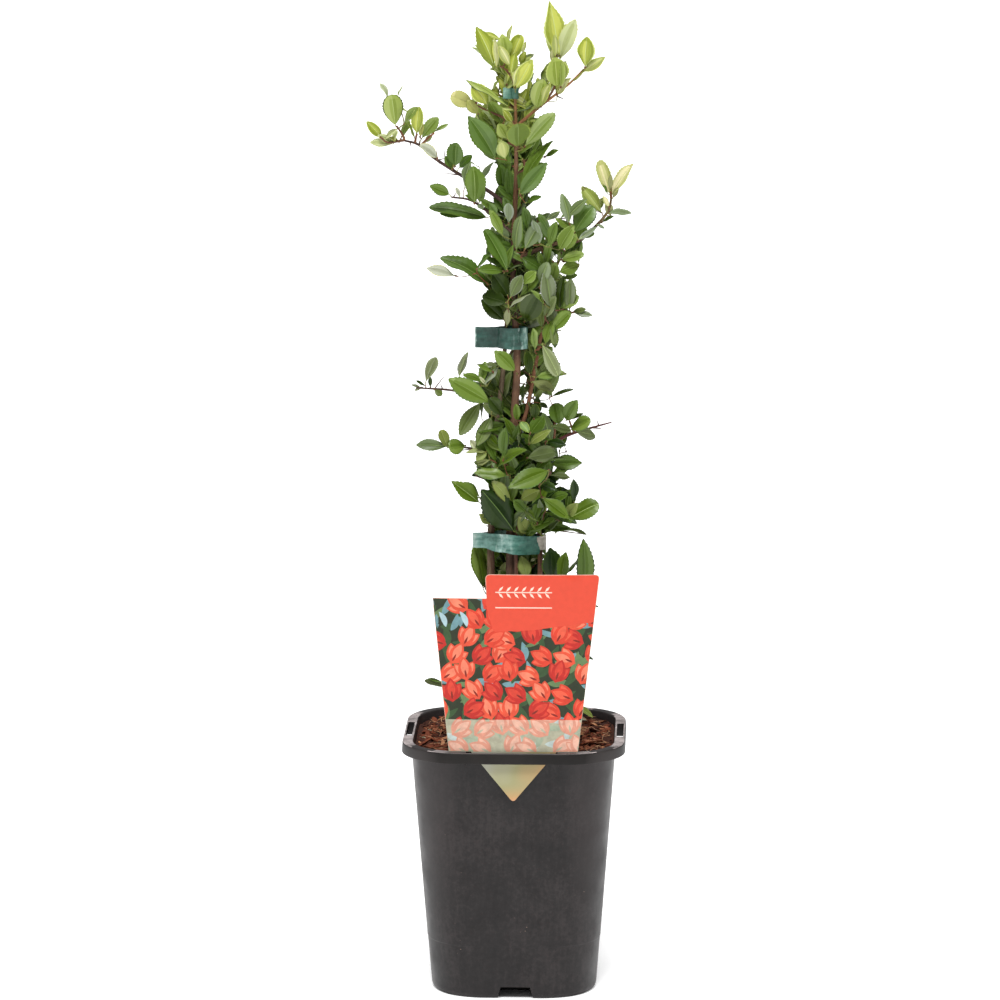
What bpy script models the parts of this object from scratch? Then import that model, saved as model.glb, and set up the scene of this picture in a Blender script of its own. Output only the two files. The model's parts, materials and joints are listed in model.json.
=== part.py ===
# Potted firethorn shrub, trained as a narrow column, in its square nursery pot.
# Metres, +Z up.  Origin: centre of the pot's flat underside.  -Y is the side
# with the plant label, +X is to the right of somebody who reads that label.
import math

import bpy
import bmesh
from mathutils import Matrix, Vector, noise

MM = 0.001
GAP = 0.4 * MM            # clearance between pieces that touch or grow together

# ---------------------------------------------------------------- pot sizes
POT_H = 175.5 * MM        # height over the rim
RIM_W = 76.1 * MM         # half width over the rim
RIM_DROP = 7.5 * MM       # height of the rim's outer skirt
SKIRT_T = 1.1 * MM
WALL_TOP_W = 69.3 * MM    # half width of the wall under the rim
WALL_LOW_W = 56.7 * MM    # half width of the wall at the foot
WALL_T = 1.4 * MM
FLOOR_T = 2.0 * MM
CORNER_TOP = 35.0 * MM    # corner radius at the rim
CORNER_LOW = 37.0 * MM    # corner radius at the foot
STEP_Z = 37.0 * MM        # stacking step round the wall
STEP_IN = 0.3 * MM
CORNER_SEGS = 4

SLOT_MID = 72.15 * MM     # label slots through the rim's flat top
SLOT_T = 4.6 * MM
SLOT_SIDE = 40.0 * MM
SLOT_FRONT = 61.0 * MM
WEB_T = 1.2 * MM         # webs that close each slot's pocket at its ends
WEB_DROP = 1.3 * MM      # how far they reach below the skirt

CHANNEL_W = (24.0 * MM, 20.0 * MM)   # drain channel, at the ground and at its roof
CHANNEL_H = 8.0 * MM
CHANNEL_IN = 23.0 * MM
CHANNEL_SHIFT = 2.0 * MM
HOOD_T = 1.4 * MM
DRAIN_R = 3.6 * MM

# ------------------------------------------------------------- compost sizes
SOIL_TOP = 171.8 * MM     # level at the stems
SOIL_EDGE = 171.0 * MM    # level at the wall
SOIL_CLEAR = 0.35 * MM

# --------------------------------------------------------------- label sizes
LABEL_Y = -71.5 * MM
LABEL_T = 0.6 * MM
LABEL_FOOT_Z = 175.9 * MM     # shoulders, just over the rim
LABEL_FOOT_X = (-42.5 * MM, 44.6 * MM)
LABEL_PANEL_X = -53.4 * MM    # upper left corner of the picture panel
LABEL_PANEL_Z = 281.2 * MM
LABEL_HEAD_X = (-17.8 * MM, 59.0 * MM)
LABEL_HEAD_Z = 297.6 * MM
LABEL_ROUND = 3.4 * MM
TAIL_X = (-27.6 * MM, 30.2 * MM)
TAIL_TIP = (0.9 * MM, 140.8 * MM)

# ------------------------------------------------------------------ tie sizes
TIE_T = 0.7 * MM

# -------------------------------------------------------- stems, boughs, twigs
# way points in mm, radius at the base and at the tip in mm, root flare in mm,
# number of rings
STEMS = {
    "stem_main": dict(way=((0, 0, 172.2), (-3, 0, 287), (-1.6, 0, 377), (1.2, 0, 430),
                           (-1.6, 0, 493), (0.5, 0, 560), (-0.3, 0, 619)),
                      base=3.9, tip=0.8, flare=1.2, rings=16),
    "stem_left": dict(way=((-11, -1, 172.2), (-16.6, -1, 288), (-13.8, 0, 370),
                           (-9, 2, 418), (-6.5, 5, 452), (-5.9, 6, 480)),
                      base=3.3, tip=0.9, flare=0.8, rings=12),
    "stem_right": dict(way=((10.5, 0, 172.2), (16.9, 0, 287), (15.2, -1, 333),
                            (19, -1, 350), (25.7, -2, 374), (27, -2, 396)),
                       base=2.3, tip=0.9, flare=0.7, rings=11),
    "stem_short": dict(way=((4, -9.5, 172.2), (0.9, -5.2, 288), (1.0, -5.2, 312), (4.5, -6, 337)),
                       base=1.7, tip=0.9, flare=0.5, rings=8),
}
BOUGHS = {
    "bough_upper_right": dict(on="stem_main", base=1.5, tip=0.8, rings=8,
                              way=((-1.6, 0, 377), (6.6, 1, 393), (12, 2, 419), (18.8, 4, 456),
                                   (25.5, 6, 487), (31, 8, 506))),
    "bough_left_arm": dict(on="stem_main", base=1.5, tip=0.7, rings=8,
                           way=((-0.4, 0, 531), (-14.8, -1, 545), (-37.4, -3, 558.7),
                                (-54.6, -5, 570), (-65, -6, 579), (-75, -6, 582))),
    "bough_left_second": dict(on="stem_main", base=1.0, tip=0.6, rings=6,
                              way=((-0.9, 0, 518), (-17.8, -4, 533), (-30, -7, 541.7), (-42.8, -9, 544))),
    "bough_right_arm": dict(on="stem_main", base=1.5, tip=0.7, rings=9,
                            way=((-1.6, 0, 496), (11.2, -2, 506), (30.2, -4, 513), (42.7, -5, 514.5),
                                 (54.5, -5, 524.4), (63.2, -5, 536), (65.1, -5, 549))),
    "bough_top_right": dict(on="stem_main", base=1.1, tip=0.6, rings=6,
                            way=((0.4, 0, 591), (15.8, -1, 604), (35.7, -2, 619.7), (46, -2, 630))),
    "bough_thorn_right": dict(on="stem_right", base=1.2, tip=0.4, rings=6,
                              way=((25.9, -2, 375.5), (36, -3, 381), (50, -5, 386), (65.5, -7, 390.7))),
    "bough_twig_left": dict(on="stem_left", base=1.0, tip=0.5, rings=6,
                            way=((-10.7, 0, 402), (-27.4, -4, 407.8), (-44, -6, 412), (-67, -7, 413.6))),
    "bough_twig_low_left": dict(on="stem_left", base=0.9, tip=0.5, rings=5,
                                way=((-13.9, 0, 367), (-26, -2, 371), (-46, -5, 373.3))),
    "bough_back_upper": dict(on="stem_main", base=1.3, tip=0.7, rings=5,
                             way=((-1.4, 0, 484), (2, 14, 497), (4, 32, 511))),
    "bough_back_lower": dict(on="stem_main", base=1.3, tip=0.7, rings=5,
                             way=((-1.8, 0, 368), (-4, 13, 378), (-8, 30, 392))),
}

# ------------------------------------------------------------ foliage masses
# centre, half sizes (mm), lean about Y (degrees)
MASSES = {
    "foliage_top_left": ((-18.5, -3, 630), (15.5, 16, 28.5), -14),
    "foliage_top_mid": ((19, 2, 638.5), (15, 17, 36.5), 6),
    "foliage_top_right": ((45.5, -2, 628.5), (14.5, 14, 23), 12),
    "foliage_neck": ((-3, -3, 588), (30, 25, 22), 0),
    "foliage_back_top": ((3, 28, 570), (22, 15, 30), 0),
    "foliage_arm_left_tip": ((-76, -6, 599), (23.4, 17, 20.5), 0),
    "foliage_arm_left_mid": ((-34, -3, 569), (16.5, 17, 21), 0),
    "foliage_arm_left_low": ((-38, -9, 538), (19.5, 14, 11.5), 8),
    "foliage_shoulder_left": ((-28.5, -2, 501), (21.5, 23, 23), 0),
    "foliage_core_upper": ((4, -5, 525), (22, 25, 41), 0),
    "foliage_core_back": ((2, 27, 508), (24, 16, 34), 0),
    "foliage_right_upper": ((39, -3, 525), (17.5, 18, 25), 0),
    "foliage_arm_right_tip": ((66, -5, 549.5), (13.8, 11, 18.8), 10),
    "foliage_mid_upper": ((8.6, -3, 476.5), (32, 26, 17.5), 0),
    "foliage_mid_upper_back": ((5, 28, 456), (26, 15, 20), 0),
    "foliage_mid_right": ((25, -2, 431), (17.5, 22, 29), 0),
    "foliage_mid_left": ((-23, -1, 412), (20, 21, 20), 0),
    "foliage_mid_back": ((0, 27, 414), (26, 14, 24), 0),
    "foliage_twig_left": ((-55, -7, 421), (13, 9, 12), 0),
    "foliage_low_right": ((39, -4, 389), (16, 15, 15), 0),
    "foliage_twig_low_left": ((-51, -5, 375), (16, 10, 8.5), 0),
    "foliage_low_core": ((1, -5, 377), (32, 24, 23), 0),
    "foliage_low_back": ((-2, 27, 362), (28, 16, 29), 0),
    "foliage_lower": ((8, -4, 337.5), (47, 27, 24), 0),
    "foliage_base_left": ((-27, -6, 286), (7, 8, 20), -8),
    "foliage_base_right": ((38, -6, 284), (17.5, 14, 25), 6),
    "foliage_base_back": ((-2, 22, 290), (25, 14, 34), 0),
    "foliage_foot_left": ((-36, -6, 212), (25, 15, 17), -8),
    "foliage_foot_right": ((32, -6, 238), (24, 15, 25), 6),
}
UNEVEN = 0.36             # how far the leaves roughen a mass, of its radius
MASS_GAP = 0.8 * MM       # air between neighbouring masses

# ------------------------------------------------------------------- set-up
for old in list(bpy.data.objects):
    bpy.data.objects.remove(old, do_unlink=True)

parts = bpy.data.collections.new("potted_firethorn")
cutters = bpy.data.collections.new("cutters")
bpy.context.scene.collection.children.link(parts)
bpy.context.scene.collection.children.link(cutters)


def material(name, colour, roughness, metallic=0.0):
    mat = bpy.data.materials.new(name)
    mat.use_nodes = True
    bsdf = mat.node_tree.nodes["Principled BSDF"]
    bsdf.inputs["Base Color"].default_value = (*colour, 1.0)
    bsdf.inputs["Roughness"].default_value = roughness
    bsdf.inputs["Metallic"].default_value = metallic
    return mat


POT_MAT = material("pot_plastic", (0.048, 0.044, 0.042), 0.45)
SOIL_MAT = material("bark_compost", (0.11, 0.052, 0.03), 0.9)
LABEL_MAT = material("label_card", (0.85, 0.12, 0.06), 0.3)
TIE_MAT = material("tie_tape", (0.04, 0.13, 0.11), 0.45)
BARK_MAT = material("stem_bark", (0.16, 0.075, 0.05), 0.75)
TWIG_MAT = material("young_bark", (0.24, 0.09, 0.05), 0.6)
LEAF_MAT = material("leaf_green", (0.075, 0.19, 0.035), 0.45)
YOUNG_MAT = material("leaf_young", (0.3, 0.42, 0.08), 0.45)


def add_mesh(name, bm, mat, smooth_deg=None, cutter=False):
    bmesh.ops.recalc_face_normals(bm, faces=bm.faces)
    mesh = bpy.data.meshes.new(name)
    bm.to_mesh(mesh)
    bm.free()
    obj = bpy.data.objects.new(name, mesh)
    if mat is not None:
        mesh.materials.append(mat)
    if smooth_deg is not None:
        mesh.shade_smooth()
        mesh.set_sharp_from_angle(angle=math.radians(smooth_deg))
    if cutter:
        cutters.objects.link(obj)
        obj.hide_render = True
        obj.display_type = 'WIRE'
    else:
        parts.objects.link(obj)
    return obj


def evaluated_mesh(obj):
    bpy.context.view_layer.update()
    graph = bpy.context.evaluated_depsgraph_get()
    return bpy.data.meshes.new_from_object(obj.evaluated_get(graph), depsgraph=graph)


def boolean(obj, cutter, operation='DIFFERENCE'):
    mod = obj.modifiers.new(operation.lower() + "_" + cutter.name, 'BOOLEAN')
    mod.operation = operation
    mod.object = cutter


def settle(obj, smooth_deg=None):
    """Apply an object's Booleans and keep the main piece of what they leave."""
    mesh = evaluated_mesh(obj)
    obj.modifiers.clear()
    bm = bmesh.new()
    bm.from_mesh(mesh)
    bmesh.ops.remove_doubles(bm, verts=bm.verts, dist=0.01 * MM)
    bmesh.ops.dissolve_degenerate(bm, edges=bm.edges, dist=0.01 * MM)
    seen, islands = set(), []
    for vert in bm.verts:
        if vert in seen:
            continue
        stack, island = [vert], []
        seen.add(vert)
        while stack:
            here = stack.pop()
            island.append(here)
            for edge in here.link_edges:
                other = edge.other_vert(here)
                if other not in seen:
                    seen.add(other)
                    stack.append(other)
        islands.append(island)
    islands.sort(key=len)
    for island in islands[:-1]:
        bmesh.ops.delete(bm, geom=island, context='VERTS')
    bm.to_mesh(mesh)
    bm.free()
    obj.data = mesh
    if smooth_deg is not None:
        mesh.shade_smooth()
        mesh.set_sharp_from_angle(angle=math.radians(smooth_deg))


# --------------------------------------------------------------------- pot
def square_ring(bm, half, corner, z, segs=CORNER_SEGS):
    """One rounded-square ring of vertices at height z."""
    ring = []
    for quarter in range(4):
        turn = quarter * math.pi / 2
        for i in range(segs + 1):
            a = turn + i / segs * math.pi / 2
            cx = (half - corner) * (1 if quarter in (0, 3) else -1)
            cy = (half - corner) * (1 if quarter in (0, 1) else -1)
            ring.append(bm.verts.new((cx + corner * math.cos(a), cy + corner * math.sin(a), z)))
    return ring


def bridge(bm, rings):
    for low, high in zip(rings, rings[1:]):
        n = len(low)
        for i in range(n):
            j = (i + 1) % n
            bm.faces.new((low[i], low[j], high[j], high[i]))


def wall_half(z):
    """Half width of the pot's outer wall at height z."""
    low = WALL_LOW_W + (WALL_TOP_W - WALL_LOW_W) * z / (POT_H - RIM_DROP)
    return low - (STEP_IN if z < STEP_Z else 0.0)


def wall_corner(z):
    return CORNER_LOW + (CORNER_TOP - CORNER_LOW) * z / POT_H


def loft(sections):
    """A closed loft through rounded squares, its first and last ring capped."""
    bm = bmesh.new()
    rings = [square_ring(bm, half, corner, z) for half, corner, z in sections]
    bridge(bm, rings)
    bm.faces.new(list(reversed(rings[0])))
    bm.faces.new(rings[-1])
    return bm


flange_z = POT_H - 1.5 * MM
pot_profile = [
    (WALL_LOW_W - 2.4 * MM, CORNER_LOW - 2.4 * MM, 0.0),
    (WALL_LOW_W - 0.9 * MM, CORNER_LOW - 0.9 * MM, 0.8 * MM),
    (wall_half(3.0 * MM), CORNER_LOW, 3.0 * MM),
    (wall_half(STEP_Z - 0.1 * MM), wall_corner(STEP_Z) - STEP_IN, STEP_Z - 0.5 * MM),
    (wall_half(STEP_Z + 0.1 * MM), wall_corner(STEP_Z), STEP_Z + 0.3 * MM),
    (wall_half(flange_z), wall_corner(flange_z), flange_z),
    (RIM_W - SKIRT_T - 0.4 * MM, CORNER_TOP + 5.0 * MM, flange_z),
    (RIM_W - SKIRT_T, CORNER_TOP + 5.4 * MM, POT_H - RIM_DROP),
    (RIM_W, CORNER_TOP + 6.5 * MM, POT_H - RIM_DROP),
    (RIM_W - 0.4 * MM, CORNER_TOP + 6.1 * MM, POT_H - 0.9 * MM),
    (RIM_W - 1.2 * MM, CORNER_TOP + 5.3 * MM, POT_H),
    (wall_half(POT_H) - WALL_T + 0.4 * MM, CORNER_TOP - WALL_T + 0.4 * MM, POT_H),
    (wall_half(POT_H) - WALL_T, CORNER_TOP - WALL_T, POT_H - 0.6 * MM),
    (wall_half(STEP_Z + 0.1 * MM) - WALL_T, wall_corner(STEP_Z) - WALL_T, STEP_Z + 0.6 * MM),
    (wall_half(STEP_Z - 0.1 * MM) - WALL_T, wall_corner(STEP_Z) - STEP_IN - WALL_T, STEP_Z - 0.2 * MM),
    (wall_half(FLOOR_T) - WALL_T, CORNER_LOW - WALL_T, FLOOR_T),
]
pot = add_mesh("pot", loft(pot_profile), POT_MAT, 30)


def wedge(bm, low_w, high_w, z0, z1, y0, y1, x_shift, turn):
    """A block whose sides lean in towards its top, turned about the pot's axis."""
    made = bmesh.ops.create_cube(bm, size=1.0)["verts"]
    for v in made:
        high = v.co.z > 0
        v.co = Vector((v.co.x * (high_w if high else low_w) + x_shift,
                       y1 if v.co.y > 0 else y0, z1 if high else z0))
    bmesh.ops.rotate(bm, verts=made, cent=(0, 0, 0), matrix=Matrix.Rotation(turn, 3, 'Z'))


def four_sides(build_one):
    bm = bmesh.new()
    for side in range(4):
        build_one(bm, side * math.pi / 2)
    return bm


inner_face = -(wall_half(0.0) - 0.7 * MM)
hood = add_mesh("channel_hoods", four_sides(lambda bm, turn: wedge(
    bm, CHANNEL_W[0] + 2 * HOOD_T, CHANNEL_W[1] + 2 * HOOD_T, 1.0 * MM, CHANNEL_H + HOOD_T,
    inner_face, -WALL_LOW_W + CHANNEL_IN + HOOD_T, CHANNEL_SHIFT, turn)), None, cutter=True)
channel = add_mesh("drain_channels", four_sides(lambda bm, turn: wedge(
    bm, CHANNEL_W[0] + 1.0 * MM, CHANNEL_W[1], -1.0 * MM, CHANNEL_H,
    -WALL_LOW_W - 4.0 * MM, -WALL_LOW_W + CHANNEL_IN, CHANNEL_SHIFT, turn)), None, cutter=True)


def slot_and_drain(bm, turn):
    """The label slot through the rim, and the drain hole over the channel."""
    length = SLOT_FRONT if abs(math.cos(turn)) > 0.5 else SLOT_SIDE
    wedge(bm, length, length, POT_H - 4.0 * MM, POT_H + 4.0 * MM,
          -SLOT_MID - SLOT_T / 2, -SLOT_MID + SLOT_T / 2, 0.0, turn)
    made = bmesh.ops.create_cone(bm, cap_ends=True, segments=8, radius1=DRAIN_R, radius2=DRAIN_R,
                                 depth=6.0 * MM)["verts"]
    bmesh.ops.translate(bm, verts=made, vec=(CHANNEL_SHIFT, -WALL_LOW_W + 15.0 * MM, CHANNEL_H + 1.0 * MM))
    bmesh.ops.rotate(bm, verts=made, cent=(0, 0, 0), matrix=Matrix.Rotation(turn, 3, 'Z'))


def webs(bm, turn):
    """Under the rim, a web between the wall and the skirt at both ends of a slot."""
    length = SLOT_FRONT if abs(math.cos(turn)) > 0.5 else SLOT_SIDE
    for side in (-1, 1):
        wedge(bm, WEB_T, WEB_T, POT_H - RIM_DROP - WEB_DROP, flange_z + 0.5 * MM,
              -RIM_W + 0.6 * MM, -wall_half(POT_H - RIM_DROP) + 0.6 * MM,
              side * (length / 2 + 0.1 * MM + WEB_T / 2), turn)


slot_webs = add_mesh("slot_webs", four_sides(webs), None, cutter=True)
holes = add_mesh("slots_and_drains", four_sides(slot_and_drain), None, cutter=True)
boolean(pot, hood, 'UNION')
boolean(pot, slot_webs, 'UNION')
boolean(pot, channel)
boolean(pot, holes)

# ------------------------------------------------------------------ compost
soil_z = (FLOOR_T + 0.3 * MM, STEP_Z - 1.0 * MM, STEP_Z + 2.0 * MM, SOIL_EDGE)
soil_sections = [(wall_half(z) - WALL_T - SOIL_CLEAR - (0.15 * MM if z < STEP_Z else 0.0),
                  wall_corner(z) - WALL_T - SOIL_CLEAR, z) for z in soil_z]
soil_sections[1] = (soil_sections[1][0] - 0.1 * MM, soil_sections[1][1], soil_sections[1][2])
soil_sections += [(44.0 * MM, 26.0 * MM, SOIL_EDGE + 0.9 * MM), (24.0 * MM, 20.0 * MM, SOIL_TOP)]
soil = add_mesh("soil", loft(soil_sections), SOIL_MAT, 40)
soil_cut = add_mesh("channel_clearance", four_sides(lambda bm, turn: wedge(
    bm, CHANNEL_W[0] + 2 * HOOD_T + 0.8 * MM, CHANNEL_W[1] + 2 * HOOD_T + 0.8 * MM,
    0.0, CHANNEL_H + HOOD_T + 0.4 * MM, -WALL_TOP_W,
    -WALL_LOW_W + CHANNEL_IN + HOOD_T + 0.4 * MM, CHANNEL_SHIFT, turn)), None, cutter=True)
boolean(soil, soil_cut)


# -------------------------------------------------------------------- label
def flat_outline(name, loops, thickness, mat):
    """A flat curve outline in its own XY plane, extruded to a thickness."""
    curve = bpy.data.curves.new(name, 'CURVE')
    curve.dimensions = '2D'
    curve.fill_mode = 'BOTH'
    curve.extrude = thickness / 2
    for loop in loops:
        spline = curve.splines.new('POLY')
        spline.points.add(len(loop) - 1)
        for point, (x, y) in zip(spline.points, loop):
            point.co = (x, y, 0.0, 1.0)
        spline.use_cyclic_u = True
    obj = bpy.data.objects.new(name, curve)
    curve.materials.append(mat)
    parts.objects.link(obj)
    return obj


def round_corner(before, corner, after, radius, steps=3):
    """Points that round off one corner of an outline."""
    p, a, b = Vector(corner), Vector(before), Vector(after)
    start = p + (a - p).normalized() * radius
    stop = p + (b - p).normalized() * radius
    return [tuple(start * (1 - t) ** 2 + p * 2 * t * (1 - t) + stop * t ** 2)
            for t in (i / steps for i in range(steps + 1))]


head_l, head_r = LABEL_HEAD_X
foot_l, foot_r = LABEL_FOOT_X
head_left_low = (head_l + 0.7 * MM, LABEL_PANEL_Z)
outline = [(foot_l, LABEL_FOOT_Z), (LABEL_PANEL_X, LABEL_PANEL_Z), head_left_low]
outline += round_corner(head_left_low, (head_l, LABEL_HEAD_Z), (head_r, LABEL_HEAD_Z), LABEL_ROUND)
outline += round_corner((head_l, LABEL_HEAD_Z), (head_r, LABEL_HEAD_Z), (foot_r, LABEL_FOOT_Z), LABEL_ROUND)
outline += [(foot_r, LABEL_FOOT_Z), (TAIL_X[1], LABEL_FOOT_Z)]
outline += round_corner((TAIL_X[1], LABEL_FOOT_Z), TAIL_TIP, (TAIL_X[0], LABEL_FOOT_Z), 3.0 * MM)
outline += [(TAIL_X[0], LABEL_FOOT_Z)]
label = flat_outline("label", [outline], LABEL_T, LABEL_MAT)
label.location = (0.0, LABEL_Y, 0.0)
label.rotation_euler = (math.pi / 2, 0.0, 0.0)


# --------------------------------------------------------------------- ties
def tie(name, x0, x1, y_mid, half_depth, tail, z0, z1, tail_side=-1, sides=16):
    """A band of tape round the stems with one flat free end, seen from above."""
    cx, half = (x0 + x1) / 2, (x1 - x0) / 2

    def ellipse(grow):
        pts = []
        for i in range(sides):
            a = (i + 0.5) / sides * 2 * math.pi
            pts.append((cx + (half + grow) * math.cos(a), y_mid + (half_depth + grow) * math.sin(a)))
        return pts

    outer, inner = ellipse(0.0), ellipse(-TIE_T)
    loop = []
    for i, (x, y) in enumerate(outer):
        loop.append((x, y))
        if i == sides // 2 - 1 and tail_side < 0:
            # the free end leaves the band at its left side
            step = 0.5 * TIE_T
            loop.append((x - 0.4 * MM, y_mid + step))
            loop.append((tail, y_mid + step - 1.0 * MM))
            loop.append((tail, y_mid - step - 1.0 * MM))
            loop.append((x - 0.4 * MM, y_mid - step))
    band = flat_outline(name, [loop, inner], z1 - z0, TIE_MAT)
    band.location = (0.0, 0.0, (z0 + z1) / 2)
    return band


TIES = {
    "tie_upper": (-12.5 * MM, 8.6 * MM, 1.4 * MM, 6.6 * MM, -27.4 * MM, 440.3 * MM, 454.5 * MM),
    "tie_lower": (-21.8 * MM, 22.4 * MM, -1.9 * MM, 7.4 * MM, -28.9 * MM, 299.2 * MM, 312.2 * MM),
    "tie_top": (-4.0 * MM, 3.4 * MM, 0.0, 3.2 * MM, -8.4 * MM, 608.3 * MM, 617.0 * MM),
}
for tie_name, size in TIES.items():
    tie(tie_name, *size)


# ---------------------------------------------------------- stems and boughs
def smooth_path(way, rings):
    """Evenly spread points on a smooth curve through the way points."""
    pts = [Vector(p) * MM for p in way]
    ext = [pts[0] * 2 - pts[1]] + pts + [pts[-1] * 2 - pts[-2]]
    fine = []
    for i in range(1, len(ext) - 2):
        p0, p1, p2, p3 = ext[i - 1:i + 3]
        for k in range(24):
            t = k / 24
            fine.append(0.5 * (2 * p1 + (p2 - p0) * t + (2 * p0 - 5 * p1 + 4 * p2 - p3) * t * t
                               + (3 * p1 - p0 - 3 * p2 + p3) * t ** 3))
    fine.append(pts[-1])
    run = [0.0]
    for a, b in zip(fine, fine[1:]):
        run.append(run[-1] + (b - a).length)
    out, k = [], 0
    for i in range(rings):
        want = run[-1] * i / (rings - 1)
        while k < len(run) - 2 and run[k + 1] < want:
            k += 1
        t = (want - run[k]) / max(run[k + 1] - run[k], 1e-9)
        out.append(fine[k].lerp(fine[k + 1], min(max(t, 0.0), 1.0)))
    return out


def limb_rings(spec):
    """Centres and radii: a power taper, and a flare where a stem meets the ground."""
    path = smooth_path(spec["way"], spec["rings"])
    if spec.get("flare"):
        # the foot stands upright on its flat cut, and the flare gets a ring of its own
        foot = path[0]
        path = [foot, foot + Vector((0, 0, 3.0 * MM)), foot.lerp(path[1], 0.45)] + path[1:]
    total = sum((b - a).length for a, b in zip(path, path[1:]))
    radii, s = [], 0.0
    for i, p in enumerate(path):
        if i:
            s += (p - path[i - 1]).length
        u = min(s / total, 1.0)
        r = spec["tip"] + (spec["base"] - spec["tip"]) * (1 - u) ** 0.75
        r += spec.get("flare", 0.0) * math.exp(-s / (5.0 * MM))
        radii.append(r * MM)
    return path, radii


def tube(name, path, radii, mat):
    curve = bpy.data.curves.new(name, 'CURVE')
    curve.dimensions = '3D'
    curve.bevel_depth = MM
    curve.bevel_resolution = 2
    curve.resolution_u = 1
    curve.render_resolution_u = 0
    curve.use_fill_caps = True
    spline = curve.splines.new('POLY')
    spline.points.add(len(path) - 1)
    for point, p, r in zip(spline.points, path, radii):
        point.co = (*p, 1.0)
        point.radius = r / MM
    obj = bpy.data.objects.new(name, curve)
    if mat is not None:
        curve.materials.append(mat)
    parts.objects.link(obj)
    return obj


def as_mesh(obj, cutter=False):
    """The same tube as a mesh object, its caps welded."""
    mesh = evaluated_mesh(obj)
    bm = bmesh.new()
    bm.from_mesh(mesh)
    bmesh.ops.remove_doubles(bm, verts=bm.verts, dist=0.01 * MM)
    bmesh.ops.recalc_face_normals(bm, faces=bm.faces)
    bm.to_mesh(mesh)
    bm.free()
    name = obj.name
    placed = obj.matrix_world.copy()
    bpy.data.objects.remove(obj, do_unlink=True)
    new = bpy.data.objects.new(name, mesh)
    new.matrix_world = placed
    if cutter:
        cutters.objects.link(new)
        new.hide_render = True
        new.display_type = 'WIRE'
    else:
        parts.objects.link(new)
    return new


def fat_tube(name, path, radii, grow):
    """A cutter that leaves a clearance all round a limb, its ends included."""
    first = path[0] - (path[1] - path[0]).normalized() * grow
    last = path[-1] + (path[-1] - path[-2]).normalized() * grow
    wide = tube(name, [first] + path[1:-1] + [last], [r + grow for r in radii], None)
    return as_mesh(wide, cutter=True)


limbs, clearances = {}, {}
for limb_name, spec in STEMS.items():
    limbs[limb_name] = limb_rings(spec)
    tube(limb_name, *limbs[limb_name], BARK_MAT)
for limb_name, spec in BOUGHS.items():
    limbs[limb_name] = limb_rings(spec)
for limb_name, (path, radii) in limbs.items():
    clearances[limb_name] = fat_tube("clear_" + limb_name, path, radii, GAP)
for limb_name, spec in BOUGHS.items():
    bough = as_mesh(tube(limb_name, *limbs[limb_name], TWIG_MAT))
    boolean(bough, clearances[spec["on"]])
    settle(bough, 50)


# ------------------------------------------------------------ foliage masses
def mass_radius(centre, half, lean, direction, seed):
    """Distance from a mass's centre to its uneven skin, along a direction."""
    local = Matrix.Rotation(math.radians(-lean), 3, 'Y') @ direction
    a, b, c = (h * MM for h in half)
    smooth = 1.0 / math.sqrt((local.x / a) ** 2 + (local.y / b) ** 2 + (local.z / c) ** 2)
    where = local * 1.9 + Vector((seed * 3.7, seed * 1.3, seed * 5.1))
    rough = noise.noise(where) + 0.55 * noise.noise(where * 2.4)
    return smooth * (1.0 - UNEVEN * 0.6 + UNEVEN * rough)


MASS_SEED = {name: i + 1 for i, name in enumerate(MASSES)}


def mass(name):
    centre, half, lean = MASSES[name]
    c = Vector(centre) * MM
    walls = []
    for other, (o_centre, o_half, o_lean) in MASSES.items():
        if other == name:
            continue
        d = Vector(o_centre) * MM - c
        n = d.normalized()
        mine = mass_radius(centre, half, lean, n, MASS_SEED[name])
        theirs = mass_radius(o_centre, o_half, o_lean, -n, MASS_SEED[other])
        if d.length < 2.6 * (mine + theirs):
            walls.append((n, d.length * mine / (mine + theirs) - MASS_GAP / 2))
    # nothing grows into the label's plane or below the compost
    walls.append((Vector((0, -1, 0)), -LABEL_Y + c.y - 12.0 * MM))
    walls.append((Vector((0, 0, -1)), c.z - POT_H - 3.0 * MM))
    bm = bmesh.new()
    big = half[0] * half[1] * half[2] > 9000
    bmesh.ops.create_uvsphere(bm, u_segments=12 if big else 9, v_segments=8 if big else 6, radius=1.0)
    for v in bm.verts:
        direction = v.co.normalized()
        v.co = direction * mass_radius(centre, half, lean, direction, MASS_SEED[name])
    # the leaf tips reach the stated half sizes, whatever the unevenness did
    for axis in range(3):
        low, high = min(v.co[axis] for v in bm.verts), max(v.co[axis] for v in bm.verts)
        for v in bm.verts:
            v.co[axis] *= half[axis] * MM / (high if v.co[axis] > 0 else -low)
    for v in bm.verts:
        for n, limit in walls:
            out = v.co.dot(n)
            if out > limit:
                v.co *= limit / out
        v.co += c
    young = name in ("foliage_top_left", "foliage_top_mid", "foliage_top_right", "foliage_arm_right_tip")
    obj = add_mesh(name, bm, YOUNG_MAT if young else LEAF_MAT, 60)
    reach = max(half) * MM
    for limb, (path, radii) in limbs.items():
        near = min((p.lerp(q, k / 6) - c).length for p, q in zip(path, path[1:]) for k in range(7))
        if near < reach * 1.1 + radii[0]:
            boolean(obj, clearances[limb])
    for tie_name, (x0, x1, y_mid, depth, tail, z0, z1) in TIES.items():
        if z0 < c.z + half[2] * MM + MM and z1 > c.z - half[2] * MM - MM:
            boolean(obj, tie_clearances[tie_name])
    settle(obj, 60)
    return obj


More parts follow.
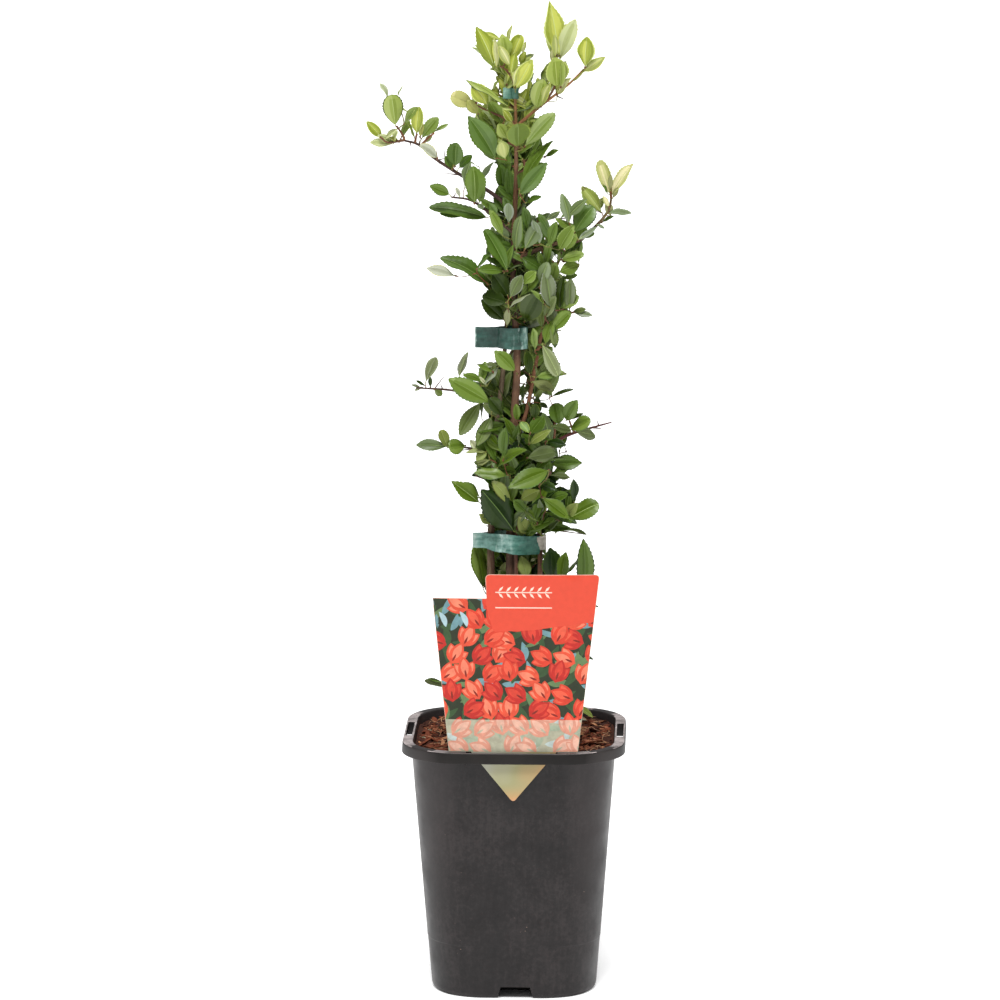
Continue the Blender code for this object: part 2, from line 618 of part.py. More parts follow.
tie_clearances = {}
for tie_name, (x0, x1, y_mid, depth, tail, z0, z1) in TIES.items():
    bm = bmesh.new()
    bmesh.ops.create_cone(bm, cap_ends=True, segments=12, radius1=1.0, radius2=1.0, depth=z1 - z0 + 1.2 * MM)
    for v in bm.verts:
        # round to the right, drawn out over the free end to the left
        reach = (x1 - x0) / 2 + 0.8 * MM
        left = (x0 + x1) / 2 - tail + 5.0 * MM
        v.co.x = (x0 + x1) / 2 + v.co.x * (reach if v.co.x > 0 else left)
        v.co.y = y_mid + v.co.y * (depth + 0.8 * MM) * 1.04
        v.co.z += (z0 + z1) / 2
    tie_clearances[tie_name] = add_mesh("clear_" + tie_name, bm, None, cutter=True)

for mass_name in MASSES:
    mass(mass_name)
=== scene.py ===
import json
import math
import random

import bmesh
import bpy
import numpy as np
from mathutils import Matrix, Vector, noise
from mathutils.geometry import delaunay_2d_cdt

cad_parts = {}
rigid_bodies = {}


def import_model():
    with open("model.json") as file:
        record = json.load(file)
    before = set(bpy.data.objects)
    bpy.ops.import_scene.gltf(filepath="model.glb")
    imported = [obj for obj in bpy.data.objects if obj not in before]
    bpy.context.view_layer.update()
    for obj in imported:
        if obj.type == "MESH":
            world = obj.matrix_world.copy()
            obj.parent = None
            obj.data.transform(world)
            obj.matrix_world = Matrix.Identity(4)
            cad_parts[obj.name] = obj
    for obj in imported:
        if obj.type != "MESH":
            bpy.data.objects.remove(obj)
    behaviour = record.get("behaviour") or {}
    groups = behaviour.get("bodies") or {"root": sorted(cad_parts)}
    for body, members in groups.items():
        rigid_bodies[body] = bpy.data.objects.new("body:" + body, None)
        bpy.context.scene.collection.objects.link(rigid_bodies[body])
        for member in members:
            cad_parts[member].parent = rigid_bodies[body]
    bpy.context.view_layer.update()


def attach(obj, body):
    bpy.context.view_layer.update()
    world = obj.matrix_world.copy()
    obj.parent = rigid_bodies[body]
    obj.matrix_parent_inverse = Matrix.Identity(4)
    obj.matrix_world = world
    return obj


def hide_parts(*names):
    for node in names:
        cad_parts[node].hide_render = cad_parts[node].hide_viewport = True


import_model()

MM = 0.001
scene = bpy.context.scene

# ------------------------------------------------------------------- camera
FRAME_PX = 1000.0
FOCAL_PX = 5280.0
PITCH, YAW, DIST = math.radians(10.1), math.radians(2.0), 3.6
AIM = Vector((-0.0104 * math.cos(YAW), -0.0104 * math.sin(YAW), 0.3355))
BACK = Vector((math.sin(YAW) * math.cos(PITCH), -math.cos(YAW) * math.cos(PITCH), math.sin(PITCH)))
EYE = AIM + BACK * DIST
FWD = -BACK
RIGHT = FWD.cross(Vector((0, 0, 1))).normalized()
UP = RIGHT.cross(FWD)

cam_data = bpy.data.cameras.new("view_camera")
cam_data.sensor_width = 36.0
cam_data.sensor_fit = 'HORIZONTAL'
cam_data.lens = 36.0 * FOCAL_PX / FRAME_PX
cam_data.clip_start, cam_data.clip_end = 0.1, 100.0
camera = bpy.data.objects.new("view_camera", cam_data)
camera.matrix_world = Matrix.Translation(EYE) @ Matrix((RIGHT, UP, BACK)).transposed().to_4x4()
scene.collection.objects.link(camera)
scene.camera = camera


def at(u, v, y_mm):
    """The point at depth y (mm) that the front view shows at (u, v)."""
    d = FWD * FOCAL_PX + RIGHT * (u - 500.0) - UP * (v - 500.0)
    return EYE + d * ((y_mm * MM - EYE.y) / d.y)


def seen(p):
    """Where the front view shows a point."""
    d = Vector(p) - EYE
    z = d.dot(FWD)
    return 500.0 + FOCAL_PX * d.dot(RIGHT) / z, 500.0 - FOCAL_PX * d.dot(UP) / z


# ---------------------------------------------------------------- materials
def lin(r, g, b):
    """Linear colour of a display colour."""
    out = []
    for c in (r, g, b):
        c = c / 255.0
        out.append(c / 12.92 if c <= 0.04045 else ((c + 0.055) / 1.055) ** 2.4)
    return tuple(out)


def new_mat(name, colour, rough, **sockets):
    mat = bpy.data.materials.new(name)
    mat.use_nodes = True
    bsdf = mat.node_tree.nodes["Principled BSDF"]
    bsdf.inputs["Base Color"].default_value = (*colour, 1.0)
    bsdf.inputs["Roughness"].default_value = rough
    for key, value in sockets.items():
        bsdf.inputs[key.replace("_", " ")].default_value = value
    return mat


class Nodes:
    """Short hand for building a procedural material."""

    def __init__(self, mat):
        self.tree = mat.node_tree
        self.bsdf = self.tree.nodes["Principled BSDF"]
        coord = self.tree.nodes.new("ShaderNodeTexCoord")
        self.coord = coord.outputs["Object"]

    def link(self, a, b):
        self.tree.links.new(a, b)

    def scaled(self, x, y, z):
        node = self.tree.nodes.new("ShaderNodeMapping")
        node.inputs["Scale"].default_value = (x, y, z)
        self.link(self.coord, node.inputs["Vector"])
        return node.outputs["Vector"]

    def noise(self, scale, detail=3.0, rough=0.5, vec=None, out="Fac"):
        node = self.tree.nodes.new("ShaderNodeTexNoise")
        node.inputs["Scale"].default_value = scale
        node.inputs["Detail"].default_value = detail
        node.inputs["Roughness"].default_value = rough
        self.link(vec or self.coord, node.inputs["Vector"])
        return node.outputs[out]

    def cells(self, scale, vec=None, feature='F1', out="Distance"):
        node = self.tree.nodes.new("ShaderNodeTexVoronoi")
        node.feature = feature
        node.inputs["Scale"].default_value = scale
        self.link(vec or self.coord, node.inputs["Vector"])
        return node.outputs[out]

    def remap(self, value, a, b, c=0.0, d=1.0):
        node = self.tree.nodes.new("ShaderNodeMapRange")
        for key, x in (("From Min", a), ("From Max", b), ("To Min", c), ("To Max", d)):
            node.inputs[key].default_value = x
        self.link(value, node.inputs["Value"])
        return node.outputs["Result"]

    def ramp(self, value, stops):
        node = self.tree.nodes.new("ShaderNodeValToRGB")
        ramp = node.color_ramp
        while len(ramp.elements) < len(stops):
            ramp.elements.new(0.5)
        for element, (pos, col) in zip(ramp.elements, stops):
            element.position = pos
            element.color = (*col, 1.0)
        self.link(value, node.inputs["Fac"])
        return node.outputs["Color"]

    def math(self, op, a, b=None):
        node = self.tree.nodes.new("ShaderNodeMath")
        node.operation = op
        for k, x in ((0, a), (1, b)):
            if x is None:
                continue
            if isinstance(x, (int, float)):
                node.inputs[k].default_value = x
            else:
                self.link(x, node.inputs[k])
        return node.outputs[0]

    def mix(self, fac, a, b):
        node = self.tree.nodes.new("ShaderNodeMix")
        node.data_type = 'RGBA'
        for key, x in ((0, fac), (6, a), (7, b)):
            if isinstance(x, (int, float)):
                node.inputs[key].default_value = x
            elif isinstance(x, tuple):
                node.inputs[key].default_value = (*x, 1.0)
            else:
                self.link(x, node.inputs[key])
        return node.outputs[2]

    def axis(self, which, vec=None):
        node = self.tree.nodes.new("ShaderNodeSeparateXYZ")
        self.link(vec or self.coord, node.inputs[0])
        return node.outputs[which]

    def colour(self, value):
        self.link(value, self.bsdf.inputs["Base Color"])

    def rough(self, value):
        self.link(value, self.bsdf.inputs["Roughness"])

    def bump(self, height, distance, strength=1.0, after=None):
        node = self.tree.nodes.new("ShaderNodeBump")
        node.inputs["Strength"].default_value = strength
        node.inputs["Distance"].default_value = distance
        self.link(height, node.inputs["Height"])
        if after is not None:
            self.link(after, node.inputs["Normal"])
        self.link(node.outputs["Normal"], self.bsdf.inputs["Normal"])
        return node.outputs["Normal"]


def pot_material():
    mat = new_mat("charcoal_plastic", (0.0115, 0.0088, 0.0089), 0.4, Specular_IOR_Level=0.3)
    n = Nodes(mat)
    broad = n.noise(17.0, 5.0, 0.62)
    streak = n.noise(1.0, 3.0, 0.6, vec=n.scaled(260.0, 260.0, 9.0))
    fine = n.noise(300.0, 3.0, 0.7)
    mix = n.math('ADD', n.math('ADD', n.math('MULTIPLY', broad, 0.45), n.math('MULTIPLY', streak, 0.2)), n.math('MULTIPLY', fine, 0.35))
    base = n.ramp(mix, [(0.4, (0.0056, 0.004, 0.0041)), (0.5, (0.0106, 0.0081, 0.0082)), (0.6, (0.0225, 0.0175, 0.0175))])
    # the corners are painted lighter: a painted sheen where the rounded corners catch the bright surroundings
    corner = n.remap(n.math('MULTIPLY', n.math('ABSOLUTE', n.axis(0)), n.math('ABSOLUTE', n.axis(1))), 0.0023, 0.003, 0.0, 0.5)
    base = n.mix(corner, base, (0.036, 0.0285, 0.0285))
    # a few crumbs of dried compost and pale dust cling to the wall
    dots = n.remap(n.cells(240.0), 0.08, 0.045)
    where = n.remap(n.noise(31.0, 2.0), 0.63, 0.7)
    dust = n.math('MULTIPLY', dots, where)
    n.colour(n.mix(dust, base, lin(150, 128, 112)))
    n.rough(n.remap(n.noise(60.0, 4.0), 0.3, 0.7, 0.34, 0.52))
    n.bump(n.noise(1400.0, 2.0), 0.00003, 0.35)
    return mat


def rim_top_material():
    """The rim's flat top: smooth, its pale grey colour a painted sheen from the bright surroundings."""
    mat = new_mat("rim_top_painted_sheen", (0.25, 0.21, 0.205), 0.3, Specular_IOR_Level=0.6)
    n = Nodes(mat)
    base = n.ramp(n.noise(85.0, 4.0, 0.6), [(0.35, (0.16, 0.133, 0.13)), (0.65, (0.5, 0.43, 0.42))])
    # the front edge, behind which the tag stands, is painted dark, without the painted sheen
    front = n.math('MULTIPLY', n.remap(n.axis(1), -0.064, -0.071), n.remap(n.math('ABSOLUTE', n.axis(0)), 0.052, 0.042, 0.0, 0.9))
    n.colour(n.mix(front, base, (0.03, 0.025, 0.024)))
    n.rough(n.remap(n.noise(130.0, 3.0), 0.3, 0.7, 0.22, 0.38))
    return mat


def skirt_material():
    mat = new_mat("rim_skirt", (0.012, 0.01, 0.0095), 0.5, Specular_IOR_Level=0.28)
    n = Nodes(mat)
    base = n.ramp(n.noise(48.0, 4.0, 0.55), [(0.35, (0.0052, 0.004, 0.0034)), (0.65, (0.0112, 0.0088, 0.0076))])
    # the corners are painted lighter: a painted sheen on the rounded corners
    corner = n.remap(n.math('MULTIPLY', n.math('ABSOLUTE', n.axis(0)), n.math('ABSOLUTE', n.axis(1))), 0.0036, 0.0046)
    n.colour(n.mix(corner, base, (0.062, 0.053, 0.052)))
    return mat


def chip_material(name, dark, light, rough=0.85, scale=300.0):
    mat = new_mat(name, light, rough, Specular_IOR_Level=0.25)
    n = Nodes(mat)
    n.colour(n.ramp(n.noise(scale, 4.0, 0.65), [(0.3, dark), (0.7, light)]))
    n.bump(n.noise(900.0, 3.0, 0.6), 0.0003, 0.8)
    return mat


def bark_material(name, stops, ridge, pores=0.5):
    """Bark whose colour follows stops along the height: (metres, display colour)."""
    mat = new_mat(name, lin(*stops[0][1]), 0.7, Specular_IOR_Level=0.3)
    n = Nodes(mat)
    z0, z1 = stops[0][0], stops[-1][0]
    wander = n.remap(n.noise(60.0, 2.0), 0.3, 0.7, -0.012, 0.012)
    climb = n.remap(n.math('ADD', n.axis(2), wander), z0, z1)
    base = n.ramp(climb, [((z - z0) / (z1 - z0), lin(*c)) for z, c in stops])
    strand = n.noise(1.0, 4.0, 0.6, vec=n.scaled(420.0, 420.0, 70.0))
    base = n.mix(n.remap(strand, 0.46, 0.7, 0.0, 0.8), base, lin(*ridge))
    grime = n.remap(n.noise(95.0, 3.0), 0.5, 0.75, 0.0, 0.6)
    base = n.mix(grime, base, lin(58, 42, 32))
    pore = n.remap(n.cells(1.0, vec=n.scaled(520.0, 520.0, 800.0)), 0.2, 0.1)
    sparse = n.remap(n.noise(240.0, 1.0), 0.55, 0.6, 0.0, pores)
    n.colour(n.mix(n.math('MULTIPLY', pore, sparse), base, lin(176, 148, 116)))
    n.rough(n.remap(strand, 0.3, 0.7, 0.82, 0.55))
    n.bump(n.noise(1.0, 4.0, 0.65, vec=n.scaled(900.0, 900.0, 260.0)), 0.00025, 0.7)
    return mat


def tape_material(name, stops, glint_at=None):
    """Thin stretched tape whose colour follows stops along X: (mm, deep colour, light colour)."""
    mat = new_mat(name, lin(*stops[0][1]), 0.34, Specular_IOR_Level=0.4)
    n = Nodes(mat)
    x0, x1 = stops[0][0], stops[-1][0]
    wander = n.remap(n.noise(150.0, 2.0), 0.3, 0.7, -0.0016, 0.0016)
    along = n.remap(n.math('ADD', n.axis(0), wander), x0 * MM, x1 * MM)
    deep = n.ramp(along, [((x - x0) / (x1 - x0), lin(*c)) for x, c, _ in stops])
    light = n.ramp(along, [((x - x0) / (x1 - x0), lin(*c)) for x, _, c in stops])
    cloud = n.math('ADD', n.math('MULTIPLY', n.noise(1.0, 3.0, 0.6, vec=n.scaled(110.0, 110.0, 340.0)), 0.6),
                   n.math('MULTIPLY', n.noise(210.0, 3.0, 0.6), 0.4))
    base = n.mix(n.remap(cloud, 0.4, 0.62), deep, light)
    if glint_at is not None:
        # painted glints: pale highlights scattered near glint_at, mixed into the tape's colour
        near = n.remap(n.math('ABSOLUTE', n.math('SUBTRACT', n.axis(0), glint_at * MM)), 0.0085, 0.001)
        painted_glints = n.remap(n.noise(1.0, 4.0, 0.6, vec=n.scaled(330.0, 330.0, 120.0)), 0.52, 0.7, 0.0, 0.75)
        base = n.mix(n.math('MULTIPLY', near, painted_glints), base, lin(206, 226, 220))
    n.colour(base)
    n.bump(cloud, 0.0003, 0.5)
    return mat


def print_material(name, colour, spread=0.07, rough=0.28):
    """Ink on plastic card: nearly even, with a faint mottle."""
    mat = new_mat(name, colour, rough, Specular_IOR_Level=0.25)
    n = Nodes(mat)
    dark = tuple(c * (1 - spread) for c in colour)
    light = tuple(min(c * (1 + spread), 1.0) for c in colour)
    n.colour(n.ramp(n.noise(260.0, 3.0, 0.6), [(0.35, dark), (0.65, light)]))
    return mat


# leaves: plain colours, dealt out leaf by leaf; each tone has four shades, and the
# young growth over the middle of the plant is paler than the old growth below. The tables by
# height also hold painted light: the upper leaves are painted lighter and the lower ones darker,
# as the top of the plant is more brightly lit. Tone s is a painted sheen: a greyer, bluer green
# for leaves whose gloss mirrors the sky.
LEAF_TONES = {
    "crown": {"Y": (169, 175, 112), "y": (149, 159, 62), "b": (156, 170, 87), "m": (143, 157, 84), "d": (113, 131, 67),
              "o": (159, 160, 94), "g": (158, 169, 126), "s": (148, 159, 102)},
    "high": {"Y": (176, 176, 118), "y": (146, 156, 84), "b": (118, 138, 68), "m": (93, 115, 50), "d": (77, 101, 43),
             "o": (127, 131, 82), "g": (118, 132, 98), "s": (98, 114, 72)},
    "mid": {"Y": (102, 128, 64), "y": (130, 149, 58), "b": (101, 122, 54), "m": (96, 109, 63), "d": (47, 62, 18),
            "o": (121, 127, 86), "g": (141, 148, 120), "s": (103, 114, 82)},
    "low": {"Y": (100, 124, 60), "y": (120, 138, 54), "b": (84, 105, 34), "m": (76, 98, 37), "d": (34, 52, 11),
            "o": (130, 140, 82), "g": (89, 101, 62), "s": (87, 102, 64)},
}
SHADE = ((0.65, 0.69, 0.47), (0.87, 0.90, 0.74), (1.13, 1.10, 1.20), (1.54, 1.42, 1.95))
FIXED = {
    "crown": {"c": ((160, 168, 112), (178, 185, 135)), "v": ((130, 150, 80), (158, 174, 104), (186, 198, 130), (208, 214, 158)),
              "e": ((66, 82, 40), (118, 120, 62), (164, 178, 116))},
    "high": {"c": ((152, 156, 134), (170, 174, 154)), "v": ((106, 128, 66), (134, 152, 88), (168, 182, 116), (200, 206, 150)),
             "e": ((54, 72, 34), (104, 106, 52), (150, 166, 104))},
    "low": {"c": ((160, 163, 126), (182, 185, 148)), "v": ((84, 108, 50), (110, 132, 70), (144, 162, 96), (178, 190, 128)),
            "e": ((44, 60, 26), (94, 98, 44), (136, 154, 90))},
}
FIXED["mid"] = FIXED["low"]
LEAF_GAIN = 1.12
_leaf_mats = {}


def leaf_mat(key, age):
    if (key, age) not in _leaf_mats:
        tone, k = key[0], int(key[1])
        if tone in LEAF_TONES[age]:
            colour = [c * f for c, f in zip(lin(*LEAF_TONES[age][tone]), SHADE[k])]
        else:
            colour = lin(*FIXED[age][tone][k])
        colour = tuple(min(max(c * LEAF_GAIN - 0.004, 0.0015), 0.9) for c in colour)
        rough = {"g": 0.6, "c": 0.55, "d": 0.36, "m": 0.38, "b": 0.38, "s": 0.4}.get(tone, 0.46)
        gloss = 0.2 if tone in "gc" else (0.13, 0.2, 0.3, 0.38)[k] if tone in "dmbo" else 0.3
        _leaf_mats[key, age] = new_mat("leaf_" + age + "_" + key, colour, rough, Specular_IOR_Level=gloss)
    return _leaf_mats[key, age]


# ------------------------------------------------------------ mesh building
class Batch:
    """Many small shapes that end up in one piece."""

    def __init__(self):
        self.verts, self.quads, self.tris = [], [], []
        self.quad_mats, self.tri_mats = [], []
        self.count = 0

    def add(self, verts, quads=None, quad_mat=0, tris=None, tri_mat=0):
        verts = np.asarray(verts, float).reshape(-1, 3)
        self.verts.append(verts)
        if quads is not None and len(quads):
            quads = np.asarray(quads, int).reshape(-1, 4)
            self.quads.append(quads + self.count)
            self.quad_mats.append(np.broadcast_to(np.asarray(quad_mat, int), (len(quads),)).copy())
        if tris is not None and len(tris):
            tris = np.asarray(tris, int).reshape(-1, 3)
            self.tris.append(tris + self.count)
            self.tri_mats.append(np.broadcast_to(np.asarray(tri_mat, int), (len(tris),)).copy())
        self.count += len(verts)

    def triangles(self):
        return 2 * sum(len(q) for q in self.quads) + sum(len(t) for t in self.tris)

    def build(self, name, materials, smooth_deg=40.0):
        verts = np.concatenate(self.verts)
        faces, mats = [], []
        for q, m in zip(self.quads, self.quad_mats):
            faces.extend(map(tuple, q.tolist()))
            mats.extend(m.tolist())
        for t, m in zip(self.tris, self.tri_mats):
            faces.extend(map(tuple, t.tolist()))
            mats.extend(m.tolist())
        mesh = bpy.data.meshes.new(name)
        mesh.from_pydata(verts.tolist(), [], faces)
        for mat in materials:
            mesh.materials.append(mat)
        mesh.polygons.foreach_set("material_index", mats)
        mesh.shade_smooth()
        mesh.set_sharp_from_angle(angle=math.radians(smooth_deg))
        mesh.update()
        obj = bpy.data.objects.new(name, mesh)
        scene.collection.objects.link(obj)
        return obj


def from_bmesh(name, bm, materials, smooth_deg=35.0):
    bmesh.ops.recalc_face_normals(bm, faces=bm.faces)
    mesh = bpy.data.meshes.new(name)
    bm.to_mesh(mesh)
    bm.free()
    for mat in materials:
        mesh.materials.append(mat)
    mesh.shade_smooth()
    mesh.set_sharp_from_angle(angle=math.radians(smooth_deg))
    obj = bpy.data.objects.new(name, mesh)
    scene.collection.objects.link(obj)
    return obj


def finish_piece(obj, slot, *nodes):
    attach(obj, "root")
    if nodes:
        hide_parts(*nodes)
    return obj


def curve_points(way, count):
    """Evenly spread points on a smooth curve through the way points."""
    pts = [Vector(p) for p in way]
    ext = [pts[0] * 2 - pts[1]] + pts + [pts[-1] * 2 - pts[-2]]
    fine = []
    for i in range(1, len(ext) - 2):
        p0, p1, p2, p3 = ext[i - 1:i + 3]
        for k in range(24):
            t = k / 24
            fine.append(0.5 * (2 * p1 + (p2 - p0) * t + (2 * p0 - 5 * p1 + 4 * p2 - p3) * t * t
                               + (3 * p1 - p0 - 3 * p2 + p3) * t ** 3))
    fine.append(pts[-1])
    run = [0.0]
    for a, b in zip(fine, fine[1:]):
        run.append(run[-1] + (b - a).length)
    out, k = [], 0
    for i in range(count):
        want = run[-1] * i / (count - 1)
        while k < len(run) - 2 and run[k + 1] < want:
            k += 1
        t = (want - run[k]) / max(run[k + 1] - run[k], 1e-9)
        out.append(fine[k].lerp(fine[k + 1], min(max(t, 0.0), 1.0)))
    return out


def frames_along(path):
    """Directions across a path that turn as little as they can."""
    tangents = []
    for i in range(len(path)):
        a, b = path[max(i - 1, 0)], path[min(i + 1, len(path) - 1)]
        tangents.append((b - a).normalized())
    side = tangents[0].orthogonal().normalized()
    if abs(tangents[0].x) < 0.8:
        side = (Vector((1, 0, 0)) - tangents[0] * tangents[0].x).normalized()
    out = []
    for t in tangents:
        side = (side - t * side.dot(t)).normalized()
        out.append((t, side, t.cross(side)))
    return out


def sweep(batch, path, radii, sides, mat, relief=None, cap=True):
    """A closed tube; relief(i, angle) scales the radius."""
    verts = []
    n = len(path)
    for i, (p, (t, s, b)) in enumerate(zip(path, frames_along(path))):
        for k in range(sides):
            a = 2 * math.pi * k / sides
            r = radii[i] * (relief(i, a) if relief else 1.0)
            verts.append(p + s * (math.cos(a) * r) + b * (math.sin(a) * r))
    quads = [(i * sides + k, i * sides + (k + 1) % sides, (i + 1) * sides + (k + 1) % sides, (i + 1) * sides + k)
             for i in range(n - 1) for k in range(sides)]
    tris = []
    if cap:
        verts.append(path[0])
        verts.append(path[-1] + (path[-1] - path[-2]).normalized() * radii[-1] * 0.5)
        low, high = n * sides, n * sides + 1
        for k in range(sides):
            tris.append(((k + 1) % sides, k, low))
            tris.append(((n - 1) * sides + k, (n - 1) * sides + (k + 1) % sides, high))
    batch.add([tuple(v) for v in verts], quads, mat, tris, mat)


# ---------------------------------------------------------------------- pot
POT_H, RIM_W, RIM_DROP = 175.5, 76.1, 7.5
WALL_TOP, WALL_LOW, WALL_T = 69.3, 56.7, 1.4
CORNER_TOP, CORNER_LOW = 35.0, 37.0
STEP_Z, STEP_IN, FLOOR_T = 37.0, 0.3, 2.0
POT_SEGS = 16


def wall_half(z):
    return WALL_LOW + (WALL_TOP - WALL_LOW) * z / (POT_H - RIM_DROP) - (STEP_IN if z < STEP_Z else 0.0)


def wall_corner(z):
    return CORNER_LOW + (CORNER_TOP - CORNER_LOW) * z / POT_H


def rounded_square(half, corner, z, segs=POT_SEGS, flat=4):
    """Ring of points: arcs at the corners, a few points along each flat side."""
    ring = []
    for quarter in range(4):
        turn = quarter * math.pi / 2
        cx = (half - corner) * (1 if quarter in (0, 3) else -1)
        cy = (half - corner) * (1 if quarter in (0, 1) else -1)
        for i in range(segs + 1):
            a = turn + i / segs * math.pi / 2
            ring.append(Vector((cx + corner * math.cos(a), cy + corner * math.sin(a), z)))
        nxt = turn + math.pi / 2
        end = ring[-1]
        cx2 = (half - corner) * (1 if (quarter + 1) % 4 in (0, 3) else -1)
        cy2 = (half - corner) * (1 if (quarter + 1) % 4 in (0, 1) else -1)
        start = Vector((cx2 + corner * math.cos(nxt), cy2 + corner * math.sin(nxt), z))
        for i in range(1, flat):
            ring.append(end.lerp(start, i / flat))
    return ring


def rounded_profile(points, segs=4):
    """Rounds a profile's corners: each point is (half width, corner, z, radius)."""
    out = []
    for i, (h, c, z, r) in enumerate(points):
        if r <= 0 or i in (0, len(points) - 1):
            out.append((h, c, z))
            continue
        p = Vector((h, c, z))
        a, b = Vector(points[i - 1][:3]), Vector(points[i + 1][:3])

        def toward(q):
            flat = Vector((q.x - p.x, 0, q.z - p.z))
            k = min(r, flat.length * 0.45) / max(flat.length, 1e-6)
            return p.lerp(q, k)
        s, e = toward(a), toward(b)
        for k in range(segs + 1):
            t = k / segs
            q = s * (1 - t) ** 2 + p * (2 * t * (1 - t)) + e * t ** 2
            out.append(tuple(q))
    return out


def loft(sections, flat=4):
    bm = bmesh.new()
    rings = []
    for half, corner, z in sections:
        rings.append([bm.verts.new(p * MM) for p in rounded_square(half, corner, z, flat=flat)])
    for low, high in zip(rings, rings[1:]):
        n = len(low)
        for i in range(n):
            j = (i + 1) % n
            bm.faces.new((low[i], low[j], high[j], high[i]))
    bm.faces.new(list(reversed(rings[0])))
    bm.faces.new(rings[-1])
    return bm


